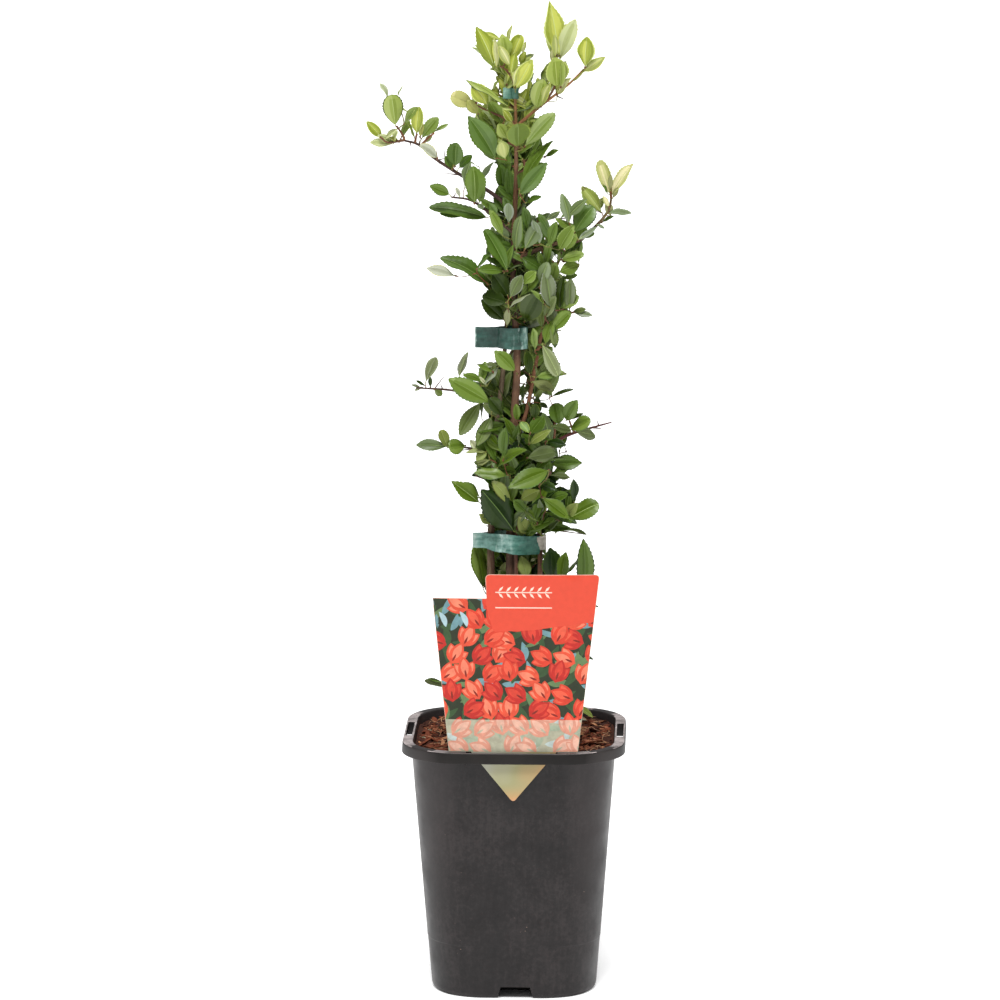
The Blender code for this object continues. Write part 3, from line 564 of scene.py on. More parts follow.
def build_pot():
    flange = POT_H - 1.5
    profile = rounded_profile([
        (WALL_LOW - 2.6, CORNER_LOW - 2.6, 0.0, 0.0),
        (WALL_LOW - 1.5, CORNER_LOW - 1.5, 0.0, 0.6),
        (wall_half(2.6), CORNER_LOW, 2.6, 1.6),
        (wall_half(STEP_Z - 0.1), wall_corner(STEP_Z) - STEP_IN, STEP_Z - 0.5, 0.4),
        (wall_half(STEP_Z + 0.1), wall_corner(STEP_Z), STEP_Z + 0.2, 0.4),
        (wall_half(120.0), wall_corner(120.0), 120.0, 0.0),
        (wall_half(flange), wall_corner(flange), flange, 1.0),
        (RIM_W - 1.5, CORNER_TOP + 5.0, flange, 0.7),
        (RIM_W - 1.2, CORNER_TOP + 5.3, POT_H - RIM_DROP + 0.5, 0.0),
        (RIM_W - 0.8, CORNER_TOP + 5.7, POT_H - RIM_DROP, 0.4),
        (RIM_W, CORNER_TOP + 6.5, POT_H - RIM_DROP, 0.4),
        (RIM_W, CORNER_TOP + 6.5, POT_H - RIM_DROP + 0.9, 0.4),
        (RIM_W - 0.4, CORNER_TOP + 6.1, POT_H, 1.3),
        (wall_half(POT_H) - WALL_T, CORNER_TOP - WALL_T, POT_H, 1.0),
        (wall_half(STEP_Z + 0.1) - WALL_T, wall_corner(STEP_Z) - WALL_T, STEP_Z + 0.6, 0.3),
        (wall_half(STEP_Z - 0.1) - WALL_T, wall_corner(STEP_Z) - STEP_IN - WALL_T, STEP_Z - 0.2, 0.3),
        (wall_half(FLOOR_T) - WALL_T, CORNER_LOW - WALL_T, FLOOR_T, 0.0),
    ])
    pot = from_bmesh("pot_shell", loft(profile), [])

    def wedge(bm, low_w, high_w, z0, z1, y0, y1, shift, turn):
        made = bmesh.ops.create_cube(bm, size=1.0)["verts"]
        for v in made:
            high = v.co.z > 0
            v.co = Vector((v.co.x * (high_w if high else low_w) + shift,
                           y1 if v.co.y > 0 else y0, z1 if high else z0)) * MM
        bmesh.ops.rotate(bm, verts=made, cent=(0, 0, 0), matrix=Matrix.Rotation(turn, 3, 'Z'))
        return made

    def four(build_one):
        bm = bmesh.new()
        for side in range(4):
            build_one(bm, side * math.pi / 2)
        return bm

    def hood(bm, turn):
        wedge(bm, 26.8, 22.8, 1.0, 9.4, -(WALL_LOW - 1.2), -WALL_LOW + 24.4, 2.0, turn)

    def channel(bm, turn):
        wedge(bm, 25.0, 20.0, -1.0, 8.0, -WALL_LOW - 4.0, -WALL_LOW + 23.0, 2.0, turn)

    def slot(bm, turn):
        length = 61.0 if abs(math.cos(turn)) > 0.5 else 40.0
        # the slot's mouth is eased at the top
        wedge(bm, length, length + 1.0, POT_H - 4.0, POT_H + 0.3, -74.45, -69.85, 0.0, turn)
        made = bmesh.ops.create_cone(bm, cap_ends=True, segments=28, radius1=3.6 * MM, radius2=3.6 * MM,
                                     depth=6.0 * MM)["verts"]
        bmesh.ops.translate(bm, verts=made, vec=(2.0 * MM, (-WALL_LOW + 15.0) * MM, 9.0 * MM))
        bmesh.ops.rotate(bm, verts=made, cent=(0, 0, 0), matrix=Matrix.Rotation(turn, 3, 'Z'))

    def web(bm, turn):
        # a slot's pocket is closed at both ends, between the wall and the skirt
        length = 61.0 if abs(math.cos(turn)) > 0.5 else 40.0
        for side in (-1, 1):
            wedge(bm, 1.2, 1.2, POT_H - RIM_DROP - 1.3, flange + 0.5, -RIM_W + 0.6, -wall_half(POT_H - RIM_DROP) + 0.6,
                  side * (length / 2 + 0.7), turn)

    tools = [("UNION", from_bmesh("tool_hood", four(hood), [])),
             ("UNION", from_bmesh("tool_web", four(web), [])),
             ("DIFFERENCE", from_bmesh("tool_channel", four(channel), [])),
             ("DIFFERENCE", from_bmesh("tool_slot", four(slot), []))]
    for operation, tool in tools:
        mod = pot.modifiers.new(tool.name, 'BOOLEAN')
        mod.operation = operation
        mod.solver = 'EXACT'
        mod.object = tool
    bpy.context.view_layer.update()
    graph = bpy.context.evaluated_depsgraph_get()
    mesh = bpy.data.meshes.new_from_object(pot.evaluated_get(graph), depsgraph=graph)
    pot.modifiers.clear()
    for operation, tool in tools:
        bpy.data.objects.remove(tool, do_unlink=True)
    bm = bmesh.new()
    bm.from_mesh(mesh)
    bmesh.ops.remove_doubles(bm, verts=bm.verts, dist=0.005 * MM)
    bmesh.ops.dissolve_degenerate(bm, edges=bm.edges, dist=0.005 * MM)
    bm.to_mesh(mesh)
    bm.free()
    mesh.materials.clear()
    for mat in (pot_material(), rim_top_material(), skirt_material()):
        mesh.materials.append(mat)
    for poly in mesh.polygons:
        c, out = poly.center / MM, max(abs(poly.center.x), abs(poly.center.y)) / MM
        if c.z > POT_H - 0.9 and poly.normal.z > 0.6 and out > WALL_TOP - 2:
            poly.material_index = 1
        elif c.z > POT_H - RIM_DROP - 0.2 and poly.normal.z < 0.6 and Vector((c.x, c.y)).length > RIM_W - 1.3 \
                and poly.normal.x * c.x + poly.normal.y * c.y > 0 and out > RIM_W - 12:
            poly.material_index = 2
    mesh.shade_smooth()
    mesh.set_sharp_from_angle(angle=math.radians(32))
    pot.data = mesh
    return finish_piece(pot, "pot_plastic", "pot")


build_pot()

# ------------------------------------------------------------------ compost
SOIL_TOP, SOIL_EDGE = 171.8, 171.0


def soil_height(x, y):
    r = max(abs(x), abs(y)) / 66.0
    bumps = noise.noise(Vector((x * 0.09, y * 0.09, 3.1))) * 1.5 + noise.noise(Vector((x * 0.3, y * 0.3, 7.7))) * 0.8
    return SOIL_TOP - (SOIL_TOP - SOIL_EDGE) * r - 1.5 + bumps


def build_soil():
    batch = Batch()
    top = wall_half(SOIL_EDGE) - WALL_T - 0.35
    rings, verts = 42, []
    count = len(rounded_square(10, 5, 0))
    for k in range(1, rings + 1):
        s = k / rings
        for p in rounded_square(top * s, (wall_corner(SOIL_EDGE) - WALL_T) * s, 0.0):
            verts.append((p.x, p.y, soil_height(p.x, p.y)))
    for z in (120.0, 60.0, 38.5):
        for p in rounded_square(wall_half(z) - WALL_T - 0.4, wall_corner(z) - WALL_T, z):
            verts.append(tuple(p))
    for z in (36.0, 10.6):
        for p in rounded_square(wall_half(z) - WALL_T - 0.5, wall_corner(z) - WALL_T, z):
            verts.append(tuple(p))
    levels = rings + 5
    quads = [(i * count + k, (i + 1) * count + k, (i + 1) * count + (k + 1) % count, i * count + (k + 1) % count)
             for i in range(levels - 1) for k in range(count)]
    verts.append((0, 0, soil_height(0, 0)))
    verts.append((0, 0, 10.6))
    mid, low = levels * count, levels * count + 1
    tris = [(k, (k + 1) % count, mid) for k in range(count)]
    tris += [((levels - 1) * count + (k + 1) % count, (levels - 1) * count + k, low) for k in range(count)]
    # the lower rings are in the wrong order for a level surface, so the sides face out by themselves
    batch.add(np.array(verts) * MM, [tuple(reversed(q)) for q in quads], 0, tris, 0)
    crust = batch.build("compost_bed", [chip_material("peat_crust", lin(30, 13, 8), lin(80, 42, 27))], 60)
    finish_piece(crust, "compost", "soil")

    rng = random.Random(41)
    chips = Batch()
    feet = [(0, 0), (-11, -1), (10.5, 0), (4, -9.5)]

    def inside(x, y, margin):
        half, corner = top - margin, wall_corner(SOIL_EDGE) - WALL_T - margin
        ax, ay = abs(x) - (half - corner), abs(y) - (half - corner)
        if ax <= 0 or ay <= 0:
            return max(abs(x), abs(y)) <= half
        return math.hypot(ax, ay) <= corner

    def chip(x, y, lift):
        big = rng.random()
        length = 4.0 + 15.0 * big ** 1.9
        width = length * rng.uniform(0.13, 0.34) + 0.7
        thick = min(width * rng.uniform(0.3, 0.7), 2.6)
        yaw, tilt, roll = rng.uniform(0, math.pi * 2), rng.gauss(0, 0.2), rng.gauss(0, 0.5)
        turn = Matrix.Rotation(yaw, 3, 'Z') @ Matrix.Rotation(tilt, 3, 'Y') @ Matrix.Rotation(roll, 3, 'X')
        ends = [turn @ Vector((s * length / 2, 0, 0)) for s in (-1, 1)]
        if not all(inside(x + e.x, y + e.y, 1.4) for e in ends):
            return False
        if any(math.hypot(x + e.x * k - fx, y + e.y * k - fy) < 4.8 for fx, fy in feet for e in ends for k in (0, .5, 1)):
            return False
        stations, sides = 6, 7
        bend = rng.uniform(-0.12, 0.12) * length
        sharp = [rng.uniform(0.75, 1.15) for _ in range(sides)]
        verts = []
        for i in range(stations):
            t = i / (stations - 1)
            taper = (1 - abs(2 * t - 1) ** rng.uniform(2.5, 5.0)) * 0.75 + 0.25
            for k in range(sides):
                a = 2 * math.pi * k / sides
                r = taper * sharp[k] * rng.uniform(0.86, 1.14)
                p = Vector(((t - 0.5) * length + rng.uniform(-0.4, 0.4),
                            math.cos(a) * width / 2 * r + bend * (4 * t * (1 - t) - 0.5),
                            math.sin(a) * thick / 2 * r))
                q = turn @ p
                verts.append((x + q.x, y + q.y, soil_height(x, y) + lift + q.z))
        quads = [(i * sides + k, i * sides + (k + 1) % sides, (i + 1) * sides + (k + 1) % sides, (i + 1) * sides + k)
                 for i in range(stations - 1) for k in range(sides)]
        n0 = len(verts)
        tris = []
        for i, order in ((0, -1), (stations - 1, 1)):
            ring = [i * sides + k for k in range(sides)][::order]
            for k in range(1, sides - 1):
                tris.append((ring[0], ring[k], ring[k + 1]))
        pick = rng.random()
        mat = 0 if pick < 0.28 else 1 if pick < 0.62 else 2 if pick < 0.85 else 3 if pick < 0.97 else 4
        chips.add(np.array(verts) * MM, quads, mat, tris, mat)
        return True

    placed, tries = 0, 0
    while placed < 950 and tries < 12000:
        tries += 1
        x, y = rng.uniform(-66, 66), rng.uniform(-66, 66)
        if chip(x, y, rng.uniform(-0.2, 1.3)):
            placed += 1
    chip_mats = [chip_material("bark_dark", lin(32, 14, 9), lin(76, 36, 23)),
                 chip_material("bark_red", lin(66, 28, 16), lin(134, 70, 44)),
                 chip_material("bark_brown", lin(104, 58, 38), lin(178, 112, 80)),
                 chip_material("bark_pale", lin(138, 84, 56), lin(204, 148, 108)),
                 chip_material("chip_grey", lin(120, 116, 92), lin(172, 168, 142))]
    finish_piece(chips.build("compost_chips", chip_mats, 50), "compost")

    fibres = Batch()
    for _ in range(420):
        x, y = rng.uniform(-62, 62), rng.uniform(-62, 62)
        if any(math.hypot(x - fx, y - fy) < 8 for fx, fy in feet):
            continue
        yaw, length, bow = rng.uniform(0, 2 * math.pi), rng.uniform(5, 17), rng.gauss(0, 2.2)
        path = []
        for k in range(8):
            t = k / 7 - 0.5
            px = x + math.cos(yaw) * t * length - math.sin(yaw) * bow * (1 - 4 * t * t)
            py = y + math.sin(yaw) * t * length + math.cos(yaw) * bow * (1 - 4 * t * t)
            path.append(Vector((px, py, soil_height(px, py) + 1.5 + 0.9 * (1 - 4 * t * t))))
        if not all(inside(p.x, p.y, 1.2) for p in path):
            continue
        radius = rng.uniform(0.14, 0.34)
        sweep(fibres, [p * MM for p in path], [radius * MM * (1 - 0.5 * abs(k / 3.5 - 1)) for k in range(8)],
              5, 0 if rng.random() < 0.6 else 1)
    finish_piece(fibres.build("compost_fibres", [chip_material("fibre_pale", lin(140, 92, 62), lin(212, 168, 130), 0.8),
                                                 chip_material("fibre_dark", lin(64, 30, 16), lin(126, 68, 40), 0.8)], 60),
                 "compost")


build_soil()

# ---------------------------------------------------------------------- tag
TAG_Y, TAG_T = -71.5, 0.6
TAG_OUTLINE_FOOT = (-42.5, 44.6, 175.9)
TAG_BAND_Z = 198.0        # the frosted foot starts here


def arc_corner(before, corner, after, radius, steps=7):
    p, a, b = Vector(corner), Vector(before), Vector(after)
    s, e = p + (a - p).normalized() * radius, p + (b - p).normalized() * radius
    return [tuple(s * (1 - t) ** 2 + p * 2 * t * (1 - t) + e * t ** 2) for t in (i / steps for i in range(steps + 1))]


def inside_polygon(x, z, poly):
    hit = False
    for (x0, z0), (x1, z1) in zip(poly, poly[1:] + poly[:1]):
        if (z0 > z) != (z1 > z) and x < (x1 - x0) * (z - z0) / (z1 - z0) + x0:
            hit = not hit
    return hit


def build_tag():
    foot_l, foot_r, foot_z = TAG_OUTLINE_FOOT
    head_l, head_r, head_z = -17.8, 59.0, 297.6
    panel = (-53.4, 281.2)
    head_low = (head_l + 0.7, panel[1])
    outline = [(foot_l, foot_z)] + arc_corner((foot_l, foot_z), panel, head_low, 1.0, 4) + [head_low]
    outline += arc_corner(head_low, (head_l, head_z), (head_r, head_z), 3.4)
    outline += arc_corner((head_l, head_z), (head_r, head_z), (foot_r, foot_z), 3.4)
    outline += [(foot_r, foot_z), (30.2, foot_z)]
    outline += arc_corner((30.2, foot_z), (0.9, 140.8), (-27.6, foot_z), 3.0)
    outline += [(-27.6, foot_z)]

    def shrink(poly, by):
        """The same outline, a little smaller."""
        area = sum(x0 * z1 - x1 * z0 for (x0, z0), (x1, z1) in zip(poly, poly[1:] + poly[:1]))
        sign = 1 if area > 0 else -1
        out = []
        for i, (x, z) in enumerate(poly):
            a, b = Vector(poly[i - 1]), Vector(poly[(i + 1) % len(poly)])
            p = Vector((x, z))
            na, nb = (p - a), (b - p)
            n = Vector((-na.y, na.x)).normalized() + Vector((-nb.y, nb.x)).normalized()
            n = n.normalized() if n.length > 1e-6 else Vector((0, 0))
            out.append(tuple(p + n * by * sign))
        return out

    # the header's lower edge, as a plain block of colour
    header = [(head_l + 0.35, panel[1] - 4.0), (head_l - 0.2, head_z + 1.0), (head_r + 1.0, head_z + 1.0), (54.9, 265.2),
              (30.0, 262.0), (14.0, 259.6), (-11.0, 258.4), (-12.7, 259.6)]
    # fans of pointed petals among narrow leaves: shapes overlap, and the last one wins
    shapes = []

    def petal(cx, cz, length, width, turn, key, steps=11, hook=0.0):
        pts = []
        for side in (1, -1):
            for k in range(steps):
                t = k / steps
                u = (t if side > 0 else 1 - t)
                x = (u - 0.5) * length
                y = side * width / 2 * math.sin(math.pi * u ** 0.9) ** 0.8 + hook * (u - 0.5) ** 2 * width
                pts.append((cx + x * math.cos(turn) - y * math.sin(turn), cz + x * math.sin(turn) + y * math.cos(turn)))
        shapes.append((pts, key))

    rng = random.Random(19)
    spots = []
    row, z = 0, foot_z + 1.0
    while z < 292:
        for col in range(-5, 6):
            spots.append((col * 15.5 + (7.7 if row % 2 else 0.0) + rng.uniform(-1.6, 1.6), z + rng.uniform(-1.4, 1.4), row, col))
        z += 12.4
        row += 1
    for x, z, row, col in spots:
        for k in range(2):
            petal(x + rng.uniform(-7, 7), z + rng.uniform(-6, 6), rng.uniform(13, 20), rng.uniform(3.4, 5.4),
                  rng.uniform(-0.6, 0.6) + (math.pi / 2 if k else 0.3), rng.choice(["leaf", "leaf", "leaf_light", "sky"]), hook=1.2)
    rng.shuffle(spots)
    for x, z, row, col in spots:
        if x < -34 and z > 264:
            petal(x + 2, z, 12.5, 4.6, 1.2, "sky", hook=1.0)
            petal(x + 8, z + 3, 11.5, 3.8, 2.0, "sky_light", hook=1.0)
            continue
        lean = math.pi / 2 + math.radians(rng.choice([-52, -24, 12, 40, 66]) + rng.uniform(-8, 8))
        hue = rng.choice(["petal_a", "petal_b", "petal_c", "petal_a"])
        for spread, size in ((0.62, 0.86), (-0.62, 0.86), (0.0, 1.0)):
            a = lean + spread
            px, pz = x + math.cos(a) * 5.2 * size, z + math.sin(a) * 5.2 * size
            petal(px, pz, 16.6 * size, 9.2 * size, a, hue)
            petal(px + 1.0 * math.cos(a), pz + 1.0 * math.sin(a), 11.6 * size, 5.2 * size, a, hue + "_light")
            petal(px - 3.4 * math.cos(a), pz - 3.4 * math.sin(a), 5.6 * size, 1.4, a, "seam")

    grid = [(x, z) for x in np.arange(-56, 62, 5.0) for z in np.arange(142, 300, 5.0)]
    border = shrink(outline, 0.35)
    points, edges = [], []

    def ring(poly):
        start = len(points)
        points.extend(Vector(p) for p in poly)
        edges.extend((start + i, start + (i + 1) % len(poly)) for i in range(len(poly)))

    ring(outline)
    ring(border)
    for pts, key in shapes:
        if any(inside_polygon(x, zz, outline) for x, zz in pts) and not all(inside_polygon(x, zz, header) for x, zz in pts):
            ring(pts)
    ring(header)
    # a plain sprig of lozenges on the header
    sprig = []
    for k in range(7):
        x, zz = -9.0 + 5.2 * k, 285.5
        for up in (1, -1):
            a = up * 0.85
            sprig.append([(x + (u - 0.5) * 5.0 * math.cos(a) - w * math.sin(a) + 1.7, zz + (u - 0.5) * 5.0 * math.sin(a)
                           + w * math.cos(a) + up * 2.2) for u, w in ((0, 0), (0.5, -0.8), (1, 0), (0.5, 0.8))])
    sprig.append([(-11.0, 285.1), (27.0, 285.1), (27.0, 285.8), (-11.0, 285.8)])
    sprig.append([(-11.0, 274.6), (27.0, 274.6), (27.0, 275.3), (-11.0, 275.3)])
    for poly in sprig:
        ring(poly)
    band = [Vector((-60.0, TAG_BAND_Z)), Vector((65.0, TAG_BAND_Z)), Vector((-60.0, foot_z - 0.01)), Vector((65.0, foot_z - 0.01))]
    start = len(points)
    points.extend(band)
    edges.extend([(start, start + 1), (start + 2, start + 3)])
    points.extend(Vector(p) for p in grid if inside_polygon(p[0], p[1], border))
    vs, es, fs, ov, oe, of_ = delaunay_2d_cdt(points, edges, [], 0, 1e-4)

    kept = [(pts, key) for pts, key in shapes]
    boxes = [(min(p[0] for p in pts), max(p[0] for p in pts), min(p[1] for p in pts), max(p[1] for p in pts)) for pts, key in kept]
    names = ["header", "ground", "petal_a", "petal_b", "petal_c", "petal_a_light", "petal_b_light", "petal_c_light",
             "leaf", "leaf_light", "sky", "sky_light", "seam", "edge", "f_ground", "f_petal", "f_light", "f_leaf", "f_sky",
             "tail", "back", "mark"]
    slot_of = {k: i for i, k in enumerate(names)}
    faces, mats = [], []
    for f in fs:
        cx = sum(vs[i].x for i in f) / len(f)
        cz = sum(vs[i].y for i in f) / len(f)
        if not inside_polygon(cx, cz, outline):
            continue
        frosted = cz < TAG_BAND_Z
        if cz < foot_z:
            key = "tail"
        elif not inside_polygon(cx, cz, border):
            key = "edge" if cz > TAG_BAND_Z and (cz > 268 or cx < 0) else "f_ground"
        elif inside_polygon(cx, cz, header):
            key = "mark" if any(inside_polygon(cx, cz, poly) for poly in sprig) else "header"
        else:
            key = "ground"
            for (pts, k), (x0, x1, z0, z1) in zip(kept, boxes):
                if x0 <= cx <= x1 and z0 <= cz <= z1 and inside_polygon(cx, cz, pts):
                    key = k
            if frosted:
                key = "f_light" if "light" in key and "petal" in key else "f_petal" if "petal" in key else \
                    "f_sky" if "sky" in key else "f_leaf" if "leaf" in key else "f_ground"
        faces.append(tuple(f))
        mats.append(slot_of[key])

    def bow(x, z):
        """The card curves back at its sides, and leans a hair forward at its head."""
        up = max(0.0, z - foot_z) / 120.0
        return TAG_Y + 0.9 * (x / 45.0) ** 2 * (0.35 + up) - 0.9 * up ** 2 + 0.25 * math.sin(x * 0.07 + z * 0.03) * up

    used = sorted({i for f in faces for i in f})
    index = {old: new for new, old in enumerate(used)}
    front = [(vs[i].x, bow(vs[i].x, vs[i].y) - TAG_T / 2, vs[i].y) for i in used]
    back = [(vs[i].x, bow(vs[i].x, vs[i].y) + TAG_T / 2, vs[i].y) for i in used]
    n = len(front)
    polys, pmats, count = [], [], {}
    for f, m in zip(faces, mats):
        g = [index[i] for i in f]
        area = sum(front[g[k]][0] * front[g[(k + 1) % len(g)]][2] - front[g[(k + 1) % len(g)]][0] * front[g[k]][2]
                   for k in range(len(g)))
        if area < 0:
            g = g[::-1]
        polys.append(tuple(g))
        pmats.append(m)
        polys.append(tuple(n + i for i in reversed(g)))
        pmats.append(slot_of["back"])
        for k in range(len(g)):
            e = (g[k], g[(k + 1) % len(g)])
            count[e] = count.get(e, 0) + 1
    for (a, b) in list(count):
        if (b, a) not in count:
            polys.append((b, a, n + a, n + b))
            pmats.append(slot_of["edge"])
    mesh = bpy.data.meshes.new("plant_tag")
    mesh.from_pydata([(x * MM, y * MM, z * MM) for x, y, z in front + back], [], polys)
    def tail_material():
        mat = new_mat("tag_tail", lin(182, 176, 140), 0.5, Specular_IOR_Level=0.3)
        k = Nodes(mat)
        drift = k.math('ADD', k.math('MULTIPLY', k.noise(34.0, 1.0, 0.4), 0.5), k.math('MULTIPLY', k.axis(2), -9.0))
        drift = k.math('ADD', drift, k.math('MULTIPLY', k.axis(0), 5.0))
        k.colour(k.ramp(k.remap(drift, -1.36, -0.98),
                        [(0.0, lin(168, 168, 150)), (0.3, lin(154, 150, 110)), (0.6, lin(181, 148, 102)), (0.8, lin(210, 142, 108)),
                         (1.0, lin(234, 186, 156))]))
        return mat

    palette = {
        "header": lin(210, 72, 50), "ground": lin(40, 48, 30), "petal_a": lin(200, 59, 39), "petal_b": lin(177, 38, 30),
        "petal_c": lin(208, 75, 50), "petal_a_light": lin(214, 86, 61), "petal_b_light": lin(200, 61, 44),
        "petal_c_light": lin(226, 122, 94), "seam": lin(120, 34, 24), "leaf": lin(52, 76, 44), "leaf_light": lin(92, 116, 76),
        "sky": lin(104, 140, 146), "sky_light": lin(160, 186, 192), "edge": lin(214, 168, 150),
        "f_ground": lin(162, 160, 138), "f_petal": lin(199, 137, 116), "f_light": lin(209, 164, 144), "f_leaf": lin(150, 160, 138),
        "f_sky": lin(172, 184, 180), "back": lin(206, 204, 196), "mark": lin(252, 208, 192),
    }
    for key in names:
        if key == "tail":
            mesh.materials.append(tail_material())
        else:
            rough = 0.5 if key.startswith("f_") or key == "back" else 0.28
            mesh.materials.append(print_material("tag_" + key, palette[key], 0.03 if key in ("header", "mark") else 0.12, rough))
    mesh.polygons.foreach_set("material_index", pmats)
    mesh.shade_smooth()
    mesh.set_sharp_from_angle(angle=math.radians(40))
    obj = bpy.data.objects.new("plant_tag", mesh)
    scene.collection.objects.link(obj)
    finish_piece(obj, "tag_card", "label")


build_tag()

# --------------------------------------------------------------------- ties
def build_tie(name, node, x0, x1, y_mid, depth, tail, z0, z1, look, rows=26, seed=1):
    """Tape wound once round the stems, its two ends pressed together in a flat tail."""
    cx, half, thick = (x0 + x1) / 2, (x1 - x0) / 2, 0.28
    way = [(tail, y_mid - 0.95), (tail * 0.6 + x0 * 0.4, y_mid - 0.9), (x0 - 1.2, y_mid - 1.2)]
    for k in range(1, 24):
        a = math.pi + 2 * math.pi * k / 24
        squeeze = 1.0 - 0.1 * math.cos(2 * a)
        way.append((cx + half * math.cos(a) * (1 if math.cos(a) < 0 else 1), y_mid + depth * math.sin(a) * squeeze))
    way += [(x0 - 1.2, y_mid + 0.5), (tail * 0.6 + x0 * 0.4, y_mid + 0.15), (tail + 0.7, y_mid - 0.2)]
    path = curve_points([(x, y, 0) for x, y in way], 300)
    length = sum((b - a).length for a, b in zip(path, path[1:]))
    verts, quads, mats = [], [], []
    n = len(path)
    run = 0.0
    for i, (p, (t, s, b)) in enumerate(zip(path, frames_along(path))):
        if i:
            run += (p - path[i - 1]).length
        out = Vector((t.y, -t.x, 0))
        if out.dot(p - Vector((cx, y_mid, 0))) < 0:
            out = -out
        if i < 28:
            out = Vector((0, -1, 0))
        elif i > n - 29:
            out = Vector((0, 1, 0))
        for r in range(rows + 1):
            w = r / rows
            low, high = look["edges"](p.x, p.y, run)
            z = (z0 + low) * (1 - w) + (z1 + high) * w
            crease = 0.32 * noise.noise(Vector((run * 0.35, w * 2.2, seed))) + 0.18 * noise.noise(Vector((run * 1.1, w * 5, seed + 4)))
            crease += look["crease"](p.x, p.y, w)
            for k in (0.5, -0.5):
                q = p + out * (crease + k * thick)
                verts.append((q.x, q.y, z))
    stride = 2 * (rows + 1)
    for i in range(n - 1):
        for r in range(rows):
            a, b = i * stride + 2 * r, (i + 1) * stride + 2 * r
            quads.append((a, b, b + 2, a + 2)); mats.append(0)
            quads.append((a + 1, a + 3, b + 3, b + 1)); mats.append(0)
        a, b = i * stride, (i + 1) * stride
        quads.append((a, a + 1, b + 1, b)); mats.append(0)
        a, b = a + 2 * rows, b + 2 * rows
        quads.append((a, b, b + 1, a + 1)); mats.append(0)
    for i, flip in ((0, False), (n - 1, True)):
        for r in range(rows):
            a = i * stride + 2 * r
            q = (a, a + 2, a + 3, a + 1)
            quads.append(q[::-1] if flip else q); mats.append(0)
    batch = Batch()
    batch.add(np.array(verts) * MM, quads, mats)
    obj = batch.build(name, [look["mat"]], 50)
    bm = bmesh.new()
    bm.from_mesh(obj.data)
    bmesh.ops.recalc_face_normals(bm, faces=bm.faces)
    bm.to_mesh(obj.data)
    bm.free()
    finish_piece(obj, "tie_tape", node)


TAPE_UPPER = tape_material("tape_upper_film", [
    (-27.4, (120, 146, 138), (178, 196, 190)), (-26.2, (26, 58, 50), (44, 84, 74)), (-10.0, (24, 56, 47), (38, 78, 67)),
    (-5.0, (30, 64, 55), (56, 100, 89)), (3.0, (25, 57, 48), (42, 82, 71)), (6.4, (74, 122, 110), (138, 176, 166)),
    (8.4, (50, 94, 82), (88, 132, 118))], 5.0)
TAPE_LOWER = tape_material("tape_lower_film", [
    (-28.9, (120, 150, 142), (184, 202, 196)), (-25.0, (72, 118, 108), (134, 172, 162)), (-13.0, (40, 88, 76), (88, 140, 126)),
    (-8.4, (84, 134, 122), (176, 208, 200)), (0.0, (50, 102, 90), (104, 156, 142)), (7.0, (34, 80, 68), (64, 114, 100)),
    (16.4, (36, 82, 70), (64, 112, 98)), (17.0, (158, 150, 138), (200, 193, 180)), (22.2, (170, 162, 150), (206, 200, 190))], -8.0)
TAPE_TOP = tape_material("tape_top_film", [(-8.4, (88, 132, 116), (136, 172, 156)), (-4.0, (56, 102, 86), (92, 136, 118)),
                                           (3.2, (42, 84, 70), (74, 116, 100))])


build_tie("tape_upper", "tie_upper", -12.3, 8.4, 1.4, 6.3, -27.4, 440.3, 454.5, dict(
    mat=TAPE_UPPER,
    edges=lambda x, y, s: (-0.5 * max(0.0, min(1.0, (x + 12) / 10)) + 0.05 * math.sin(s * 0.9),
                           0.09 * math.sin(s * 0.4) - 0.1),
    crease=lambda x, y, w: 0.5 * math.exp(-((x + 6.2) / 1.1) ** 2) * (0.4 - abs(w - 0.35))), seed=3)
build_tie("tape_lower", "tie_lower", -21.6, 21.2, -1.9, 7.1, -28.9, 299.2, 313.1, dict(
    mat=TAPE_LOWER,
    edges=lambda x, y, s: (1.7 * math.exp(-((x + 8.5) / 5.5) ** 2) + 3.6 * max(0.0, min(1.0, (-10.5 - x) / 9))
                           + 2.7 * max(0.0, min(1.0, (x - 16.4) / 0.8)),
                           0.3 * math.exp(-((x + 10) / 6) ** 2) - 1.3 * max(0.0, min(1.0, (x + 5) / 16))),
    crease=lambda x, y, w: (0.7 * math.exp(-((x + 8.4) / 0.9) ** 2)
                            + 0.8 * math.exp(-((w - 0.5 - 0.035 * (x - 2.4)) / 0.09) ** 2) * math.exp(-((x - 2.4) / 7) ** 2))), seed=9)
build_tie("tape_top", "tie_top", -2.6, 2.0, 0.0, 2.4, -8.4, 609.8, 617.0, dict(
    mat=TAPE_TOP,
    edges=lambda x, y, s: (0.2 * math.sin(s), 0.3 * math.sin(s * 1.3)),
    crease=lambda x, y, w: 0.0), rows=12, seed=5)

